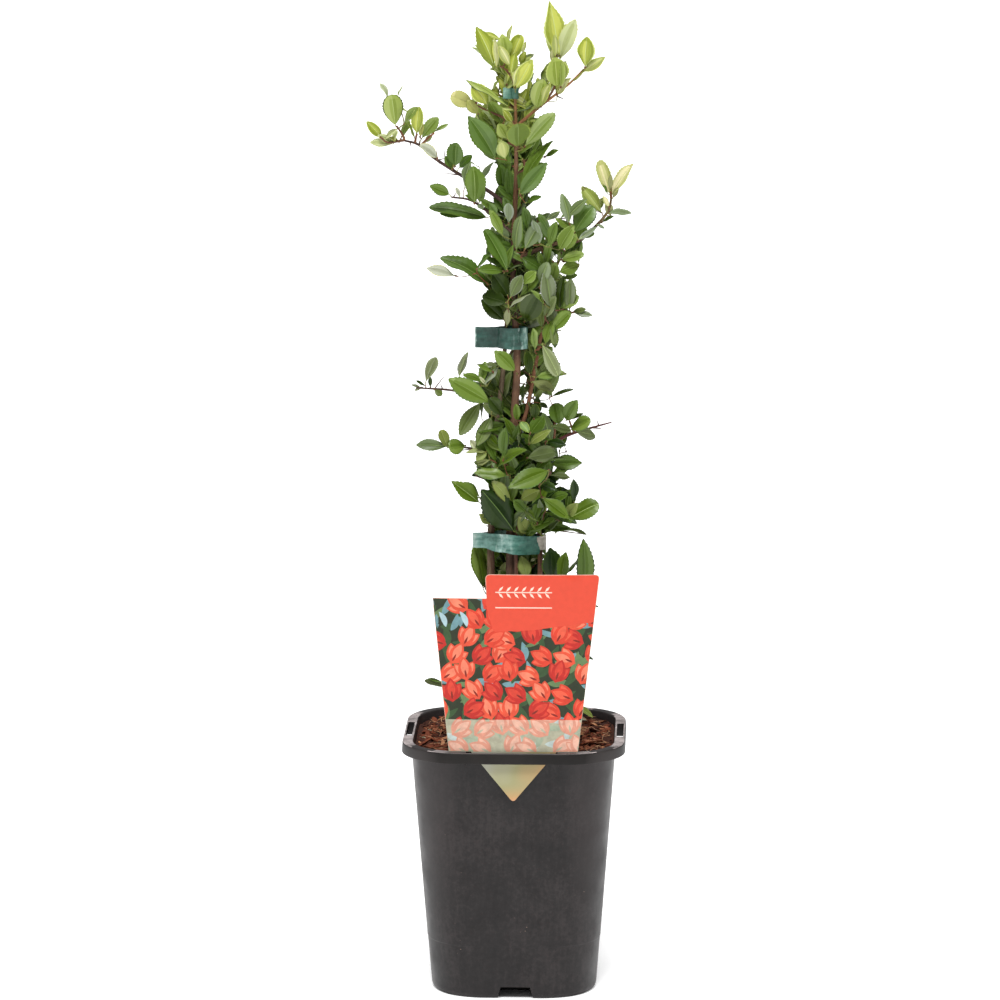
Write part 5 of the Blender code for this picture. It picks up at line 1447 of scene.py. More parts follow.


# Leading leaves of the front, each from its tip to its base as the front view
# shows them: tip (u, v), base (u, v), width, tone, flags.
# Flags: p pointed, r round, t dark tip, m pale midrib, f further forward,
# k further back, n narrow.
LEADING = [
    # crown, left tip
    (476, 26.5, 494, 66, 15, "y", "m"), (475, 45, 496, 71, 9, "b", "k"), (494, 38, 497, 68, 7, "Y", ""),
    (502, 34, 506, 61, 15, "b", ""), (499, 46, 510, 66, 9, "Y", "f"), (521.3, 34.8, 510.5, 61, 14, "y", "r"),
    (525.8, 51.6, 520, 64, 7, "y", ""), (531.5, 53.5, 522, 66, 6.5, "b", "k"), (526, 41.5, 524, 60, 3, "Y", "k"), (534, 54, 523, 64, 4, "g", "k"),
    (515.3, 53, 511, 75, 10, "y", "f"), (532.5, 59.3, 515.6, 89.3, 15, "y", "f"), (531, 56, 517, 79, 9, "b", "k"), (519, 65.7, 513.7, 88, 6, "Y", "f"),
    (533.8, 72.7, 527, 92, 4, "d", "k"), (512, 25, 508, 44, 3, "Y", "k"), (466, 80, 508, 106, 5, "m", "n"),
    (472, 83.5, 488, 106, 16, "y", "m"), (498.4, 81, 492.6, 90, 3, "m", "k"),
    # crown, right tips
    (549.5, 1, 559.4, 56, 22.5, "y", "m"), (575.6, 19.1, 559.8, 60, 15, "c", ""), (554, 34.8, 555.6, 57.4, 7, "Y", "f"),
    (554.5, 57, 557, 88, 22, "b", "f"), (561.7, 61.5, 560.7, 87.4, 8, "m", "f"), (587.2, 36.7, 585, 67.6, 17, "y", "m"), (566, 24, 557, 56, 9, "Y", "k"),
    (571, 78, 557, 95, 8, "Y", ""), (566, 62, 561, 84, 9, "b", "k"),
    (605.4, 56.8, 583.4, 72, 10, "Y", ""), (544, 79, 536, 109, 18, "m", ""), (550.8, 82.3, 541.2, 106.8, 7, "Y", "f"),
    # neck
    (450.7, 95.5, 473, 106, 15, "o", "rm"), (467, 100, 478, 114, 10.5, "o", ""), (534, 99, 524, 121, 10, "b", "k"), (472, 92.5, 476.5, 103, 5, "d", "f"), (468, 116, 495.6, 158.7, 21, "d", "m"),
    (489.3, 101.8, 503, 124, 13, "d", "k"), (498.4, 97.6, 511, 105, 6, "d", "k"), (502.6, 109, 512.5, 123, 7, "y", ""),
    (498, 124, 507.5, 139.7, 12, "m", ""), (518, 123.5, 518, 147, 22.5, "d", "rf"), (555, 113, 524.4, 146.8, 16, "d", "m"),
    (500.5, 140.8, 505.4, 159.4, 13, "y", "f"), (553, 140.5, 521, 187, 11, "m", ""), (558.8, 150, 544.7, 157, 5, "m", ""),
    (547, 162.5, 520, 195, 16, "d", ""), (493.5, 162, 481.6, 183, 5, "g", ""), (470.5, 162, 464.5, 188, 9, "s", ""),
    (473, 166, 474.5, 203.5, 19.5, "m", "fm"), (484.5, 186, 479, 203, 9, "m", ""), (480, 176, 481, 196, 8, "s", "k"), (465, 195, 478, 202, 5, "m", ""), (445.5, 156, 452, 169.5, 7, "d", ""), (456.5, 142.6, 455, 166.5, 16, "d", "m"),
    (472, 155.3, 459, 168, 8.5, "d", ""), (450, 143.5, 453, 160, 8, "d", "k"), (500, 164, 503, 192, 12, "d", "k"), (507, 168, 508, 196, 10, "d", "k"),
    # left arm's tip
    (391.4, 94.5, 395.4, 126, 19.5, "m", "rm"), (379.8, 83.3, 388, 98, 5, "g", ""), (402.7, 85.8, 397.5, 97, 2.5, "g", ""),
    (366.5, 121.5, 382, 138, 9.5, "y", "m"), (370, 142.6, 393, 144, 7.5, "c", ""), (397.6, 131, 392.5, 142.6, 4, "c", ""),
    (417.4, 107, 404, 124, 8, "d", ""), (419.3, 106.6, 416.8, 135, 11, "y", ""), (422.8, 122.8, 420, 137, 5, "o", ""),
    (438.3, 117.4, 421.2, 139, 11.5, "d", ""), (448.6, 124.1, 434, 131.8, 4, "d", "n"), (432.7, 134.3, 424.4, 142.6, 5, "d", ""),
    (407.5, 123.5, 415, 139, 4, "m", ""), (410, 121, 401.5, 137, 6.5, "d", "k"), (419.6, 145.4, 437.5, 158, 11, "c", "ff"),
    (397.5, 129, 383, 141, 4.5, "c", ""), (377, 135.5, 394, 143, 7, "c", ""), (390, 137, 399, 142, 4, "o", ""),
    # second arm at the left
    (489, 203, 497, 215, 8, "d", ""), (480, 199, 493, 210, 6, "m", ""), (484, 207, 498, 218, 6, "m", "k"),
    (429.6, 185.7, 450, 194.6, 10.5, "m", ""), (455.7, 187.3, 460, 197, 4, "c", ""), (479, 204, 483, 210, 6, "g", ""),
    (428.9, 207, 487.6, 217.4, 15, "d", "m"), (440, 213.6, 472, 217, 7, "d", "k"), (489.5, 209.3, 502.9, 236, 9, "b", ""), (508, 203, 508.6, 223.3, 9, "g", ""),
    (494, 196, 508, 214, 10, "d", "k"), (503, 197, 512, 216, 9, "d", "k"),
    # left shoulder
    (484.5, 229.3, 507.5, 271, 15, "d", "rmf"), (440, 257.8, 488.9, 284.5, 13.5, "d", "m"), (426.2, 268.2, 456, 276, 9.5, "c", ""),
    (477, 270, 504, 271, 10, "m", "f"), (490.2, 253.4, 476.8, 269.3, 4, "d", ""), (492.7, 273.8, 508, 296, 17, "d", ""),
    (482.3, 295.7, 507, 302.8, 16, "d", "f"), (481, 299.6, 504.6, 320.6, 14, "d", ""),
    # upper core and its right side
    (541.5, 196.6, 525.5, 203, 5, "d", ""), (523, 207, 528, 230, 7, "d", ""), (529, 215, 537.6, 222, 4, "g", ""),
    (538.3, 214, 554, 245, 9.5, "d", "m"), (560, 211.2, 545, 221, 6.5, "g", ""), (561.5, 193.5, 569.5, 224, 10, "s", ""),
    (587, 199, 567.5, 217, 9, "s", ""), (593.5, 206, 574, 233, 20, "d", "m"), (581.7, 186.2, 602, 213, 14, "y", "t"),
    (521, 215.7, 516, 251.5, 10, "s", "f"), (540.5, 222, 524.5, 250, 14, "s", "m"), (539.5, 241, 547, 245.7, 6, "d", ""),
    (555.5, 218.3, 574, 230.4, 7, "b", ""), (562.8, 230.4, 561.2, 248, 5, "g", ""), (576.5, 234, 565, 250.8, 9, "b", ""),
    (584.2, 254, 561.2, 259.7, 10, "b", ""), (579.7, 264.8, 558.7, 272.5, 12.5, "b", "t"), (577.5, 275, 562, 279, 6, "m", "k"), (540.8, 269.3, 521, 257, 14, "d", ""),
    (538.3, 252, 542, 267.4, 7, "m", ""), (551, 251, 552, 261, 5, "g", ""), (536.4, 271.2, 521.7, 285.3, 10, "b", "f"),
    (522, 275, 510, 298, 12, "s", "f"), (544.6, 269, 551, 309, 16, "s", "m"), (530.6, 290.4, 544.6, 304.4, 5, "b", ""),
    (564.4, 275, 559.3, 310, 10, "d", ""), (571, 278.5, 569.5, 311, 13, "s", "f"), (538.4, 293.8, 524.4, 321.9, 24, "d", ""),
    (530, 293.8, 508.5, 307.9, 3, "g", ""), (592.5, 315.5, 573, 312.5, 6.5, "s", ""), (586, 309, 571, 313, 5, "m", ""),
    (556, 262, 549, 286, 13, "b", "k"), (573, 281, 562, 301, 12, "m", "k"), (579, 296, 562, 309, 11, "b", ""), (548, 262, 540, 284, 12, "s", ""), (547, 257, 554, 279, 10, "m", "k"),
    (566, 300, 556, 322, 13, "b", "k"), (571, 312, 553, 330, 12, "b", ""), (556, 296, 545, 318, 12, "m", ""),
    (574, 225, 559, 250, 13, "b", "ff"), (557, 222, 549, 247, 9, "m", "ff"), (533, 220, 540, 244, 9, "g", "f"),
    (597, 227, 578, 240, 6, "g", "n"), (604, 197, 596, 211, 7, "y", "k"),
    # right arm's tip
    (599.5, 160, 610.4, 194.8, 13.5, "Y", "r"), (633.3, 163.6, 611, 196, 10.5, "Y", ""), (611, 175, 610, 190, 5, "o", ""),
    (618.4, 187.8, 612.3, 198.7, 4, "o", ""), (603, 185, 608, 194, 3, "d", ""), (603, 196, 609, 207, 5, "Y", ""),
    (606, 203, 611, 215.5, 8, "o", ""), (631.4, 213.3, 608, 212.6, 6.5, "g", ""), (614, 215.9, 601.5, 222.3, 4, "d", ""),
    (604.6, 228.6, 596, 224.2, 3, "g", ""),
    # round the upper tie
    (494.5, 350.6, 515.5, 371.5, 14.5, "b", "f"), (508.5, 309, 506.6, 327, 6, "o", ""), (533, 328.3, 535, 350.6, 8, "b", ""),
    (527, 351, 529.5, 374.8, 9, "d", ""), (553, 320, 545, 345, 12, "b", ""), (555, 348, 551, 325, 7, "m", "t"),
    (558.5, 376, 542, 344, 12.5, "g", "rf"), (567, 374, 536, 377, 9, "b", "tf"), (468.1, 352, 458.6, 378, 8.5, "g", ""),
    (485.5, 361.5, 481, 384, 8, "b", ""), (484.2, 383.7, 498.3, 366.5, 6, "s", ""), (484, 371, 496, 391, 12, "d", "k"),
    (554, 391, 531, 381, 10, "o", ""), (573.3, 389.3, 551, 396.7, 4, "d", "n"), (547.8, 407.8, 539.5, 403, 5, "d", ""),
    (524, 384, 523.5, 402, 4, "d", ""), (521, 345, 523, 366, 7, "m", "k"),
    # twig at the left
    (436.2, 357.1, 425.4, 382.6, 11, "g", ""), (416.2, 380.4, 425.5, 386, 3, "d", "n"), (411.4, 384.5, 421, 387.5, 3, "g", "n"),
    (414.6, 390.5, 422, 387.5, 2.5, "g", ""), (430.5, 377, 430.5, 387, 4, "d", ""), (442, 395.5, 434, 389, 7, "m", ""),
    (448.4, 378.6, 491, 403, 20, "b", "f"), (478, 365, 493, 372, 5, "b", ""), (479, 377, 487, 386, 4, "c", ""), (463, 375, 483, 382, 6, "b", ""),
    # left of the middle
    (459.6, 435.4, 480.5, 402, 14.5, "m", ""), (477, 446, 492, 416, 14, "m", "m"), (503, 398, 497, 424, 9, "m", "k"),
    (489, 398, 503, 416, 12, "d", ""), (483, 404, 500, 417, 9, "m", "k"), (505.7, 427, 503.8, 458, 9, "m", "f"),
    # right of the middle
    (529, 432.7, 519.8, 421, 8, "Y", "f"), (516, 404, 517, 421, 7, "b", ""), (536, 404, 534, 419, 9, "d", ""),
    (544, 416, 530, 434, 14, "m", ""), (555, 403, 559, 425, 16, "m", ""), (577.5, 400, 565.5, 420.5, 14, "m", ""),
    (583.5, 413.5, 569, 419.5, 4, "d", "n"), (590.5, 419, 570.5, 430, 13, "b", "r"), (570.5, 430, 551, 426, 9, "g", ""),
    (595.3, 435.5, 576, 431, 13.5, "g", "r"), (566.4, 445.2, 546, 441.5, 9, "d", "p"), (551, 430, 529, 444, 9, "o", ""),
    (525, 431, 523, 448, 6, "d", "k"), (518.3, 424, 518.5, 446, 2.5, "g", ""),
    # low twig at the left
    (416, 445, 449, 446.5, 11.5, "s", ""), (440.5, 430, 447.6, 448, 10, "o", "r"), (448.5, 447.3, 465.5, 445.5, 15.5, "b", "r"),
    (470, 440, 481, 453, 7, "c", ""), (476, 460.5, 487, 451, 8, "o", ""), (466, 452.5, 486, 452, 5, "o", ""),
    # low core
    (474.8, 464, 490, 460, 7, "o", "t"), (473.8, 472.8, 509, 475.5, 11, "b", "f"), (526.7, 450, 497, 468, 8, "b", "f"),
    (516, 473, 497, 468.5, 9, "m", "f"), (508, 488, 549, 470, 19, "b", "ff"), (492, 481, 511, 505, 11, "o", ""),
    (451.4, 481.2, 480, 503, 14, "b", "m"), (464, 482, 480, 497.5, 6, "Y", "k"), (540, 490, 520, 500, 12, "o", ""),
    (513, 500, 526, 512, 11, "m", ""), (555.5, 452, 527, 458, 15, "g", "r"), (582.3, 463, 550, 464, 15, "m", "p"),
    (570, 477.5, 550, 475, 6, "g", ""), (556, 490, 540, 484, 10, "d", ""), (568, 494, 549, 500, 9, "m", ""),
    (573.5, 479.1, 574, 503, 7.6, "d", ""), (598.6, 503.3, 568, 519, 19, "b", "rm"), (578, 503, 566, 518, 10, "o", ""),
    (569.3, 518.8, 541.5, 497, 14, "b", "pf"), (577, 523.5, 545, 512, 9, "m", "t"), (571, 528.5, 541, 528, 8, "m", ""), (586.5, 534.5, 560, 529.5, 4, "g", "n"),
    (481, 489.5, 514.5, 532, 28, "d", "mf"), (479, 514, 492, 524, 9, "o", ""), (518.7, 516.6, 528, 535, 13, "o", ""),
    (505, 503, 520, 516, 12, "d", "k"), (530, 500, 527, 520, 9, "d", "k"), (548, 505, 556, 522, 12, "d", "k"),
    (512, 455, 505, 474, 10, "m", "k"), (534, 464, 525, 480, 12, "m", "k"), (556, 484, 545, 474, 6, "d", "k"),
    # under the lower tie
    (474.2, 544, 483, 588, 14, "b", "k"), (521, 556, 527, 578, 13, "o", ""), (531, 561, 536, 558, 3, "c", ""),
    (550, 547.5, 552, 581, 20, "d", ""), (566, 552, 561, 582, 12.5, "b", "f"), (583.3, 538.5, 584, 592, 17, "m", "p"),
    (506, 562, 500, 582, 9, "o", "k"), (540, 558, 541, 582, 9, "d", "k"),
    # tips that show beside the tag
    (599, 607, 578, 602, 3.5, "d", "n"), (593.5, 659.5, 574, 652, 3.5, "d", "n"), (424.5, 680.5, 449, 688, 6, "g", ""),
    (593, 717.5, 577, 706, 6, "o", ""),
]
THORNS = [  # base, tip as the front view shows them, thickness in mm
    (438, 159, 436.5, 149, 1.0), (446, 163.8, 444, 147, 1.0), (461, 175.6, 441.7, 173.6, 1.0), (410, 140, 410.5, 147, 1.1),
    (592, 427.8, 604, 429.4, 1.3), (599, 425, 597, 419, 0.9), (434, 388, 449, 370.8, 0.8),
    (476, 450, 444.5, 453.5, 0.8), (443, 389.5, 440, 383, 1.0), (548, 529, 589, 535, 1.2), (559, 97, 566, 100, 0.9),
    (551, 471, 544, 484, 1.4), (420, 146, 419, 139, 0.9),
]
# open sky between the leaves, as the front view shows it: place and radius
SKY = [(523, 368, 3), (523.5, 381, 3.4), (492.9, 432.8, 4), (559, 433, 4.5), (567, 422.5, 4), (580, 417.5, 4), (561, 473, 5),
       (564, 484, 5), (548, 493.5, 3.5), (551.5, 520.5, 3), (502, 561.5, 4), (486, 552, 3), (485, 415, 5), (493, 432, 4),
       (473, 430, 7), (477, 420, 5), (465, 420, 8), (470, 395, 3), (540, 50, 6), (541, 68, 6), (570, 75, 6), 
       (463, 137, 6), (480, 150, 5), (470, 200, 6), (445, 175, 7), (465, 225, 8), (575, 180, 10), (560, 175, 8),
       (592, 245, 10), (460, 320, 14), (575, 335, 10), (560, 460, 3), (455, 465, 9), (470, 515, 8), (565, 540, 9),
       (596, 480, 10), (545, 130, 4), (572, 575, 5), (526, 91, 5), (554, 474, 4), (533, 207, 4), (550, 205, 5), (486, 246, 5), (554, 352, 5), (487, 484, 3)]


# the leafy column and its two heads, coarsely, as the front view shows them: (height, left, right)
COLUMN = [(92, 488, 540), (116, 478, 534), (132, 482, 540), (150, 490, 540), (172, 495, 540), (196, 496, 524), (212, 500, 522), (219, 498, 524), (225, 497, 556),
          (232, 498, 586), (244, 502, 584), (280, 482, 582), (308, 488, 576), (324, 504, 562), (336, 504, 548), (346, 504, 544), (358, 494, 552),
          (374, 482, 560), (402, 474, 538), (414, 480, 541), (422, 480, 549), (430, 480, 572), (456, 476, 556), (466, 478, 560), (470, 480, 549), (480, 486, 547), (484, 488, 556),
          (494, 480, 568), (510, 481, 582), (528, 490, 566), (535, 488, 547), (546, 480, 546), (552, 476, 560), (556, 475, 566), (600, 480, 590)]
HEAD_LEFT = [(30, 476, 486), (44, 476, 520), (58, 486, 531), (72, 495, 528), (92, 500, 522)]
HEAD_RIGHT = [(12, 552, 562), (36, 548, 568), (50, 555, 560), (62, 550, 562), (84, 538, 566), (92, 532, 558)]
CELL, LEFT_U, NU, NV = 2.0, 340.0, 160, 380
EYE_MM, FWD_A, RIGHT_A, UP_A = (np.array(tuple(q)) for q in (EYE / MM, FWD, RIGHT, UP))


def cells_of(points):
    """Which cells of a coarse raster of the front view hold points (mm)."""
    d = np.asarray(points, float) - EYE_MM
    z = d @ FWD_A
    u, v = 500.0 + FOCAL_PX * (d @ RIGHT_A) / z, 500.0 - FOCAL_PX * (d @ UP_A) / z
    return (np.clip((v / CELL).astype(int), 0, NV - 1), np.clip(((u - LEFT_U) / CELL).astype(int), 0, NU - 1))


CELL_V, CELL_U = np.meshgrid((np.arange(NV) + 0.5) * CELL, LEFT_U + (np.arange(NU) + 0.5) * CELL, indexing="ij")


def between_sides(table):
    rows = np.array(table, float)
    left = np.interp(CELL_V[:, 0], rows[:, 0], rows[:, 1], left=1e6, right=1e6)
    right = np.interp(CELL_V[:, 0], rows[:, 0], rows[:, 2], left=-1e6, right=-1e6)
    return (CELL_U > left[:, None]) & (CELL_U < right[:, None])


def grown(grid, times=1):
    for _ in range(times):
        wide = grid.copy()
        wide[1:] |= grid[:-1]
        wide[:-1] |= grid[1:]
        wide[:, 1:] |= grid[:, :-1]
        wide[:, :-1] |= grid[:, 1:]
        grid = wide
    return grid


TAG_LEFT = 431.6 + (448.5 - 431.6) * (CELL_V - 597.5) / 153.5
TAG_RIGHT = 599.8 - (599.8 - 577.5) * (CELL_V - 577.0) / 173.5
BEHIND_TAG = ((CELL_V > 606) & (CELL_V < 744) & (CELL_U > TAG_LEFT + 5) & (CELL_U < TAG_RIGHT - 5)) \
    | ((CELL_V > 583) & (CELL_V <= 606) & (CELL_U > 493) & (CELL_U < 593))
SKY_CELLS = np.zeros((NV, NU), bool)
for sky_u, sky_v, sky_r in SKY:
    SKY_CELLS |= (CELL_U - sky_u) ** 2 + (CELL_V - sky_v) ** 2 < sky_r ** 2
LEAFY = (between_sides(COLUMN) | between_sides(HEAD_LEFT) | between_sides(HEAD_RIGHT)) & ~SKY_CELLS
cover = np.zeros((NV, NU), bool)


def in_crown_many(points, limit=1.0):
    points = np.asarray(points, float)
    hit = np.zeros(len(points), bool)
    for _, c, h, lean in MASS_ARR:
        d = points - c
        x = d[:, 0] * math.cos(lean) - d[:, 2] * math.sin(lean)
        z = d[:, 0] * math.sin(lean) + d[:, 2] * math.cos(lean)
        hit |= (x / h[0]) ** 2 + (d[:, 1] / h[1]) ** 2 + (z / h[2]) ** 2 <= limit * limit
    return hit


def blade_samples(leaf, step):
    """Points spread over a leaf's blade."""
    base, tip, normal = (np.array(tuple(leaf[k])) for k in ("base", "tip", "normal"))
    axis = tip - base
    length = np.linalg.norm(axis)
    axis = axis / length
    normal = normal - axis * (normal @ axis)
    normal = normal / np.linalg.norm(normal)
    side = np.cross(normal, axis)
    t = np.linspace(0.05, 0.97, max(6, int(length / step)))
    body = t ** 1.1 * (1 - t) ** 0.85
    body = body / body.max()
    across = np.linspace(-0.92, 0.92, max(3, int(leaf["width"] / step)))
    tt, ss = np.meshgrid(t, across, indexing="ij")
    half = (ss * body[:, None])[..., None] * side * leaf["width"] / 2
    return (base + tt[..., None] * axis * length + half).reshape(-1, 3)


rng = random.Random(2026)
clusters = []     # dict(base, leaves=[...], way)


def add_leading():
    for (tu, tv, bu, bv, w, tone, flags) in LEADING:
        p0 = at(bu, bv, 0.0) / MM
        p1 = at(tu, tv, 0.0) / MM
        f0, f1 = front_of(p0.x, p0.z), front_of(p1.x, p1.z)
        y0 = -2.0 if f0 is None else 0.42 * f0
        y1 = (-4.0 if f0 is None else 0.6 * f0) if f1 is None else 0.8 * f1
        forward = flags.count("f") * -6.0 + flags.count("k") * 11.0
        app = (p1 - p0).length
        lean = rng.uniform(-0.2, 0.3) * app
        y0 += forward + rng.uniform(-2, 2)
        y1 = max(min(y1 + forward, y0 + 0.45 * app), y0 - 0.55 * app) + 0.4 * lean
        base, tip = at(bu, bv, y0) / MM, at(tu, tv, y1) / MM
        width = w * 0.6818 * (1 + y0 / 5000.0)
        axis = (tip - base)
        true_len = axis.length
        axis.normalize()
        to_eye = (EYE / MM - (base + tip) / 2).normalized()
        face = (to_eye - axis * to_eye.dot(axis)).normalized()
        across = face.cross(axis)
        ratio = width / true_len
        want = 0.36 if "n" not in flags else 0.2
        if ratio >= want:
            roll = math.radians(rng.uniform(8, 26))
        else:
            roll = math.acos(max(0.3, ratio / want))
        full = width / max(math.cos(roll), 0.3) * (1.07 if width > 3.5 else 1.04)
        sign = 1 if across.z >= 0 else -1
        normal = face * math.cos(roll) + across * (math.sin(roll) * sign)
        if tone == "g":
            # its pale underside shows: the upper face looks away, still tipped up
            normal = -(face * math.cos(roll) - across * (math.sin(roll) * sign))
        clusters.append(dict(base=base, leaves=[dict(base=base, tip=tip, normal=normal, width=full, tone=tone,
                                                     flags=flags, fine=True)]))


def try_leaf(base, direction, length, turn_to, tone, step=1.7, part=0.96, limit=1.22):
    """A leaf that stays in the crown and where the front view is leafy, or None; with the cells it shows on."""
    axis = direction.normalized()
    normal = turn_to - axis * turn_to.dot(axis)
    if normal.length < 0.05:
        return None, None
    leaf = dict(base=base, tip=base + axis * length, normal=normal.normalized(), width=length * rng.uniform(0.33, 0.46),
                tone=tone, flags=rng.choice(["", "", "m", "", "r"]), fine=False)
    points = blade_samples(leaf, step)
    where = cells_of(points)
    if allowed[where].mean() < part or not in_crown_many(points, limit).all():
        return None, None
    return leaf, where


def tones_by_height(v):
    return "yYyg" if v < 105 else "mdmgb" if v < 200 else "mdmsdb" if v < 330 else "mdgbm" if v < 440 else "mdbm"


def fill(region, depth, size, goal, tone_rule, facing=0.6):
    """Nodes of one to three leaves over the cells that nothing covers yet."""
    total = int(region.sum())
    todo = [tuple(c) for c in np.argwhere(region & ~cover)]
    rng.shuffle(todo)
    for iv, iu in todo:
        if cover[iv, iu]:
            continue
        if (region & cover).sum() >= goal * total:
            break
        u, v = LEFT_U + (iu + 0.5) * CELL, (iv + 0.5) * CELL
        for attempt in range(7):
            spot = at(u, v, rng.uniform(*depth)) / MM
            outward = 1.0 if spot.x > -1.0 else -1.0
            lean = outward * rng.gauss(0.5, 0.62)
            direction = Vector((math.sin(lean), rng.uniform(-0.5, 0.25), math.cos(lean))).normalized()
            length = rng.uniform(*size) * (1.0 - 0.09 * attempt)
            base = spot - direction * length * rng.uniform(0.3, 0.65)
            to_eye = (EYE / MM - spot).normalized()
            turn_to = to_eye * facing + Vector((rng.gauss(0, 0.3), rng.gauss(0, 0.2), rng.uniform(0.1, 0.9)))
            tones = tone_rule(v)
            leaf, where = try_leaf(base, direction, length, turn_to, rng.choice(tones))
            if leaf is None:
                continue
            cover[where] = True
            node = base - direction * 1.9
            leaves = [leaf]
            for k in range(rng.choice((0, 1, 1, 2))):
                side_lean = lean + rng.choice((-1, 1)) * rng.uniform(0.6, 1.5)
                side_dir = Vector((math.sin(side_lean), rng.uniform(-0.3, 0.7), math.cos(side_lean))).normalized()
                extra, where = try_leaf(node + side_dir * 1.9, side_dir, length * rng.uniform(0.6, 1.0),
                                        to_eye * 0.4 + Vector((rng.gauss(0, 0.3), rng.gauss(0, 0.3), rng.uniform(0.2, 1))),
                                        rng.choice(tones))
                if extra is not None:
                    cover[where] = True
                    leaves.append(extra)
            clusters.append(dict(base=node, leaves=leaves))
            break


def add_inner():
    """Sprays inside and behind: nodes spread through each mass, a few leaves at each."""
    spots = []
    for name, (centre, half, lean, share, tones) in MASSES.items():
        volume = 4 / 3 * math.pi * half[0] * half[1] * half[2]
        want = int(round(share * volume / INNER_ROOM))
        back = centre[1] > 10
        foot = name.startswith("foliage_foot")
        tries = got = 0
        while got < want and tries < want * 50:
            tries += 1
            d = Vector((rng.uniform(-1, 1), rng.uniform(-1, 1), rng.uniform(-1, 1)))
            if d.length > 0.9:
                continue
            p = Vector((centre[0] + d.x * half[0], centre[1] + d.y * half[1], centre[2] + d.z * half[2]))
            if not back and not foot and p.y < 4.0:
                continue
            if not allowed[cells_of([tuple(p)])][0] or any((p - q).length < 6.5 for q in spots):
                continue
            axis_x = -1.0 if abs(p.x) < 45 else p.x * 0.7
            radial = Vector((p.x - axis_x, p.y, 0))
            radial = radial.normalized() if radial.length > 2 else Vector((0, 1, 0))
            spin = rng.uniform(0, 2 * math.pi)
            leaves = []
            for k in range(rng.choice((3, 3, 4, 5))):
                a = spin + k * 2.4
                swing = Vector((math.cos(a), math.sin(a), 0)) * 0.75
                direction = (radial * 0.75 + Vector((0, 0, rng.uniform(0.25, 0.95))) + swing).normalized()
                if not back and not foot and direction.y < -0.25:
                    direction.y *= -0.5
                up = (Vector((0, 0, 1)) - direction * direction.z).normalized()
                turn_to = up + Vector((rng.gauss(0, 0.35), rng.gauss(0, 0.35), rng.gauss(0, 0.2)))
                leaf, where = try_leaf(p + direction * 1.9, direction, rng.uniform(13, 26) * (0.85 if "Y" in tones else 1.0),
                                       turn_to, rng.choice(tones), 2.6, 1.0, 1.05)
                if leaf is not None:
                    leaves.append(leaf)
                    cover[where] = True
            if leaves:
                spots.append(p)
                clusters.append(dict(base=p, leaves=leaves))
                got += 1


INNER_ROOM = 2500.0       # mm3 of mass to one inner node
add_leading()
for cl in clusters:
    for leading in cl["leaves"]:
        cover[cells_of(blade_samples(leading, 0.8))] = True
allowed = (LEAFY | grown(cover, 1) | BEHIND_TAG)
front_low = (CELL_U > 484) & (CELL_U < 552) & (CELL_V > 425) & (CELL_V < 530)
front_high = (CELL_U > 494) & (CELL_U < 550) & (CELL_V > 254) & (CELL_V < 322)
before = len(clusters)
fill(LEAFY & front_low, (-9.0, -4.0), (13, 23), 0.96, lambda v: "mmdsb")
fill(LEAFY & front_high, (-7.0, -3.0), (12, 20), 0.88, lambda v: "mdmsb")
print("front fill", len(clusters) - before)
before = len(clusters)
fill(LEAFY, (2.0, 13.0), (15, 26), 0.965, tones_by_height)
print("back fill", len(clusters) - before, "covered", round(float((LEAFY & cover).sum() / LEAFY.sum()), 3))
before = len(clusters)
add_inner()
print("inner nodes", len(clusters) - before, "covered", round(float((LEAFY & cover).sum() / LEAFY.sum()), 3))

# ---------------------------------------------------- twigs: the growth rule
# Each cluster of leaves joins the nearest limb or twig that lies below it; what
# it adds can carry the next one.  Nearest clusters grow first.
skel_pos = np.array([tuple(p) for p, t, r in limb_points])
skel_dir = np.array([tuple(t) for p, t, r in limb_points])
skel_rad = np.array([r for p, t, r in limb_points])
skel_own = np.full(len(limb_points), -1)
skel_run = np.zeros(len(limb_points))
targets = np.array([tuple(c["base"]) for c in clusters])


def join_cost(target, pos, own):
    d = target[None, :] - pos
    dist = np.linalg.norm(d, axis=1) + 1e-6
    rise = d[:, 2] / dist
    return dist * (1.35 - 0.5 * rise) + np.where(own >= 0, 1.2, 0.0)


# shoots that show bare between the leaves: their way in the front view, depth at foot and tip (mm)
SHOOTS = [
    (((515.3, 86), (512, 78), (506, 70), (500, 66)), 0, -4), (((512, 78), (517, 70), (516, 62)), -1, -4),
    (((541, 106), (552, 92), (557, 78), (557, 60), (556, 50)), -2, -2), (((574.5, 80), (580, 75), (585, 69)), -2, -3),
    (((513, 122), (500, 116), (488, 111), (478, 106), (470, 103)), -1, -3), (((404.6, 138.8), (400.8, 132), (396.5, 126)), -6, -7),
    (((414.8, 142.6), (416, 137), (417, 134)), -6, -7), (((421.2, 145.2), (426, 140), (434, 133)), -5, -7),
    (((388, 142.6), (383, 139), (380, 137)), -6, -7), (((452.5, 166.8), (454, 164), (456, 160)), -3, -5),
    (((611, 197.4), (610.5, 190), (610.2, 183)), -5, -6), (((575, 433.5), (572, 428), (569.5, 421)), -4, -5),
    (((539, 520), (552, 521), (567, 519.5)), -2, -6),
]
twigs = []


